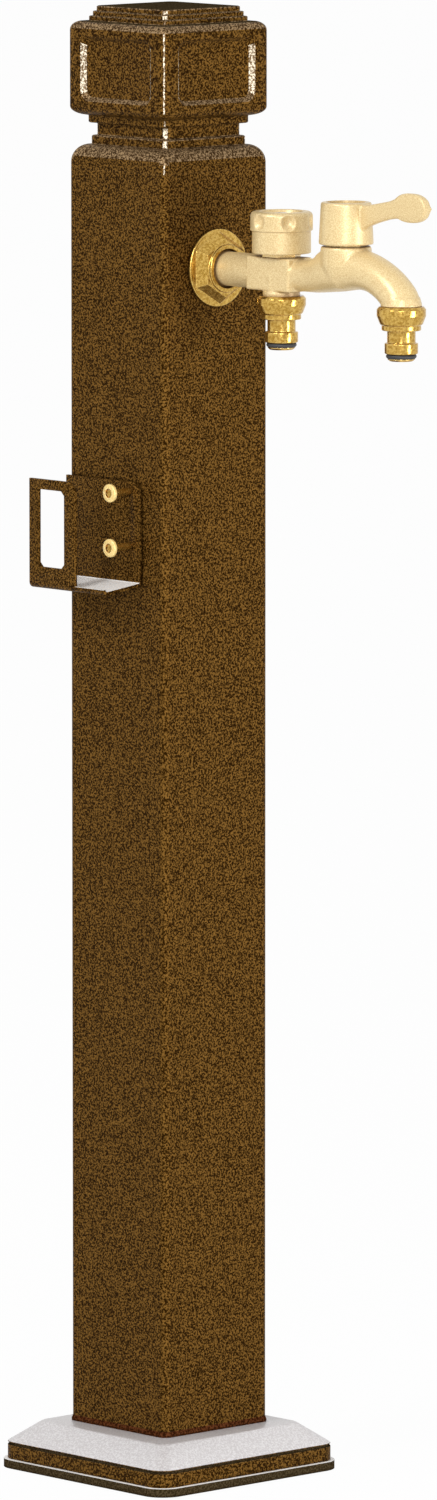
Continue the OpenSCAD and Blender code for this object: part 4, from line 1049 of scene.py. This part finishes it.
bracket = {"edge": 0.45, "shelf": (506.0, 515.0), "shelfLean": 0.6}
peg = {
    "x": 13.5, "face": -42.0, "heights": (564.5, 533.5), "steps": 48,
    "tail": 1.5, "tailLength": 8.0, "tailRound": 0.3,
    "stem": 2.1, "length": 14.0, "stemRound": 0.5, "stemStop": 0.2,
    "head": 5.15, "thick": 2.3, "headSide": 0.3, "headRound": (0.5, 0.7, 0.3), "headSlope": 1.8,
    "socket": (2.6, 2.3), "socketDepth": (1.2, 1.3), "socketRound": 0.2,
    "socketReach": 2.7, "socketLip": 0.15,
}


def makeBracket(b):
    piece = copyNode("hoseBracket", "hose_bracket")
    bake(bevel(piece, b["edge"], degrees=35))
    low, high = b["shelf"]

    # painted reflection on the shelf's upward faces (1)
    def pick(face):
        return 1 if face.normal.z > b["shelfLean"] and low * mm < face.center.z < high * mm else 0

    paint(piece, [sheetCoat, sheenPaintedLip], pick)
    return shade(piece, degrees=35)


def makePegs(p):
    end = p["length"] + p["thick"]
    lowRound, midRound, highRound = p["headRound"]
    outline = fillet([
        (0, -p["tailLength"], 0), (p["tail"], -p["tailLength"], p["tailRound"]), (p["tail"], 0, 0),
        (p["stem"], 0, 0), (p["stem"], p["length"] - p["stemStop"], p["stemRound"]),
        (p["head"], p["length"], lowRound), (p["head"], end - p["headSide"], midRound),
        (p["head"] - p["headSlope"], end, highRound), (p["socket"][0], end, p["socketRound"]),
        (p["socket"][1], end - p["socketDepth"][0], p["socketRound"]), (0, end - p["socketDepth"][1], 0),
    ], closed=False)
    verts = []
    faces = []
    for height in p["heights"]:
        one = lathe("peg", outline, (0, 0, 0), steps=p["steps"], closed=False)
        start = len(verts)
        for v in one.data.vertices:
            x, y, z = v.co / mm
            verts.append((p["x"] + x, p["face"] - z, height + y))
        faces += [[start + i for i in f.vertices] for f in one.data.polygons]
        bpy.data.objects.remove(one)
    pegs = weld(addPiece("bracketPegs", verts, faces))
    socket = p["face"] - p["length"] - p["thick"] + p["socketLip"]

    def pick(face):
        x, y, z = (c / mm for c in face.center)
        offset = min(math.hypot(x - p["x"], z - height) for height in p["heights"])
        return 1 if offset < p["socketReach"] and y > socket else 0

    paint(pegs, [pegBrass, materials["polished_brass"]], pick)
    return shade(pegs, degrees=40)


settle(makeBracket(bracket), "standpipe", "bronze_coat", "hose_bracket")
settle(makePegs(peg), "standpipe", "polished_brass", "bracket_pegs")
print("bracket made")


# CAD nodes that stay: each gets its slot's material

slotOf = {part["node"]: part["material_slot"] for part in frame["record"]["subparts"]}
for nodeName, node in nodes.items():
    node.data.materials.clear()
    node.data.materials.append(materials[slotOf[nodeName]])
print("CAD nodes dressed")


# Floor, light and camera

studio = {
    "floorSize": 30.0, "floorColour": (0.86, 0.86, 0.86), "floorWhite": 0.97, "ambient": 0.42,
    "lamps": [
        ((2.4, -2.2, 1.5), (0, 0, 0.45), 1.4, 50.0),
        ((0.0, -2.5, 2.6), (0.1, 0, 0.69), 1.0, 42.0),
        ((2.8, 0.6, 0.4), (0, 0, 0.25), 1.0, 30.0),
    ],
}
view = {
    "azimuth": 47.502, "distance": 6500.0, "eye": 1230.5, "yaw": -0.249, "pitch": 7.168,
    "focal": 11545.4, "imageHeight": 1500, "sensor": 24.0, "farthest": 100.0,
}


def showWhite(tree, dim, bright, share=1.0):         # white when seen or reflected, dimmer as a lamp
    path = tree.nodes.new("ShaderNodeLightPath")
    seen = mathNode(tree, "MAXIMUM", path.outputs["Is Camera Ray"], path.outputs["Is Glossy Ray"])
    seen = mathNode(tree, "MAXIMUM", seen, path.outputs["Is Transmission Ray"])
    mix = tree.nodes.new("ShaderNodeMixShader")
    tree.links.new(mathNode(tree, "MULTIPLY", seen, share), mix.inputs["Fac"])
    tree.links.new(dim, mix.inputs[1])
    tree.links.new(bright, mix.inputs[2])
    return mix.outputs["Shader"]


def makeWorld(s):
    world = bpy.data.worlds.new("studio")
    bpy.context.scene.world = world
    tree = emptyTree(world)
    out = tree.nodes.new("ShaderNodeOutputWorld")
    dim = addNode(tree, "ShaderNodeBackground", {"Color": (1, 1, 1, 1), "Strength": s["ambient"]})
    bright = addNode(tree, "ShaderNodeBackground", {"Color": (1, 1, 1, 1), "Strength": 1.0})
    tree.links.new(showWhite(tree, dim.outputs[0], bright.outputs[0]), out.inputs["Surface"])


def makeFloor(s):
    half = s["floorSize"] / 2 / mm
    corners = [(-half, -half, 0), (half, -half, 0), (half, half, 0), (-half, half, 0)]
    floor = addPiece("floor", corners, [(0, 1, 2, 3)])
    material = bpy.data.materials.new("floor")
    tree = emptyTree(material)
    out = tree.nodes.new("ShaderNodeOutputMaterial")
    matt = addNode(tree, "ShaderNodeBsdfDiffuse", {"Color": (*s["floorColour"], 1)})
    glow = addNode(tree, "ShaderNodeEmission", {"Color": (1, 1, 1, 1), "Strength": 1.0})
    surface = showWhite(tree, matt.outputs["BSDF"], glow.outputs["Emission"], s["floorWhite"])
    tree.links.new(surface, out.inputs["Surface"])
    floor.data.materials.append(material)


def makeLamps(s):
    for i, (place, target, size, power) in enumerate(s["lamps"]):
        light = bpy.data.lights.new("lamp" + str(i), "AREA")
        light.shape = "DISK"
        light.size = size
        light.energy = power
        lamp = bpy.data.objects.new("lamp" + str(i), light)
        lamp.location = place
        lamp.rotation_euler = (Vector(target) - Vector(place)).to_track_quat("-Z", "Y").to_euler()
        bpy.context.scene.collection.objects.link(lamp)


def makeCamera(v):
    data = bpy.data.cameras.new("camera")
    camera = bpy.data.objects.new("camera", data)
    azimuth = math.radians(v["azimuth"])
    heading = azimuth + math.radians(v["yaw"])
    pitch = math.radians(v["pitch"])
    away = v["distance"] * mm
    camera.location = (math.sin(azimuth) * away, -math.cos(azimuth) * away, v["eye"] * mm)
    level = math.cos(pitch)
    ahead = Vector((-math.sin(heading) * level, math.cos(heading) * level, -math.sin(pitch)))
    camera.rotation_euler = ahead.to_track_quat("-Z", "Y").to_euler()
    data.sensor_fit = "VERTICAL"
    data.sensor_height = v["sensor"]
    data.lens = v["focal"] / v["imageHeight"] * data.sensor_height
    data.clip_end = v["farthest"]
    bpy.context.scene.collection.objects.link(camera)
    bpy.context.scene.camera = camera


makeWorld(studio)
makeFloor(studio)
makeLamps(studio)
makeCamera(view)
bpy.context.scene.view_settings.view_transform = "Standard"
print("stage set")
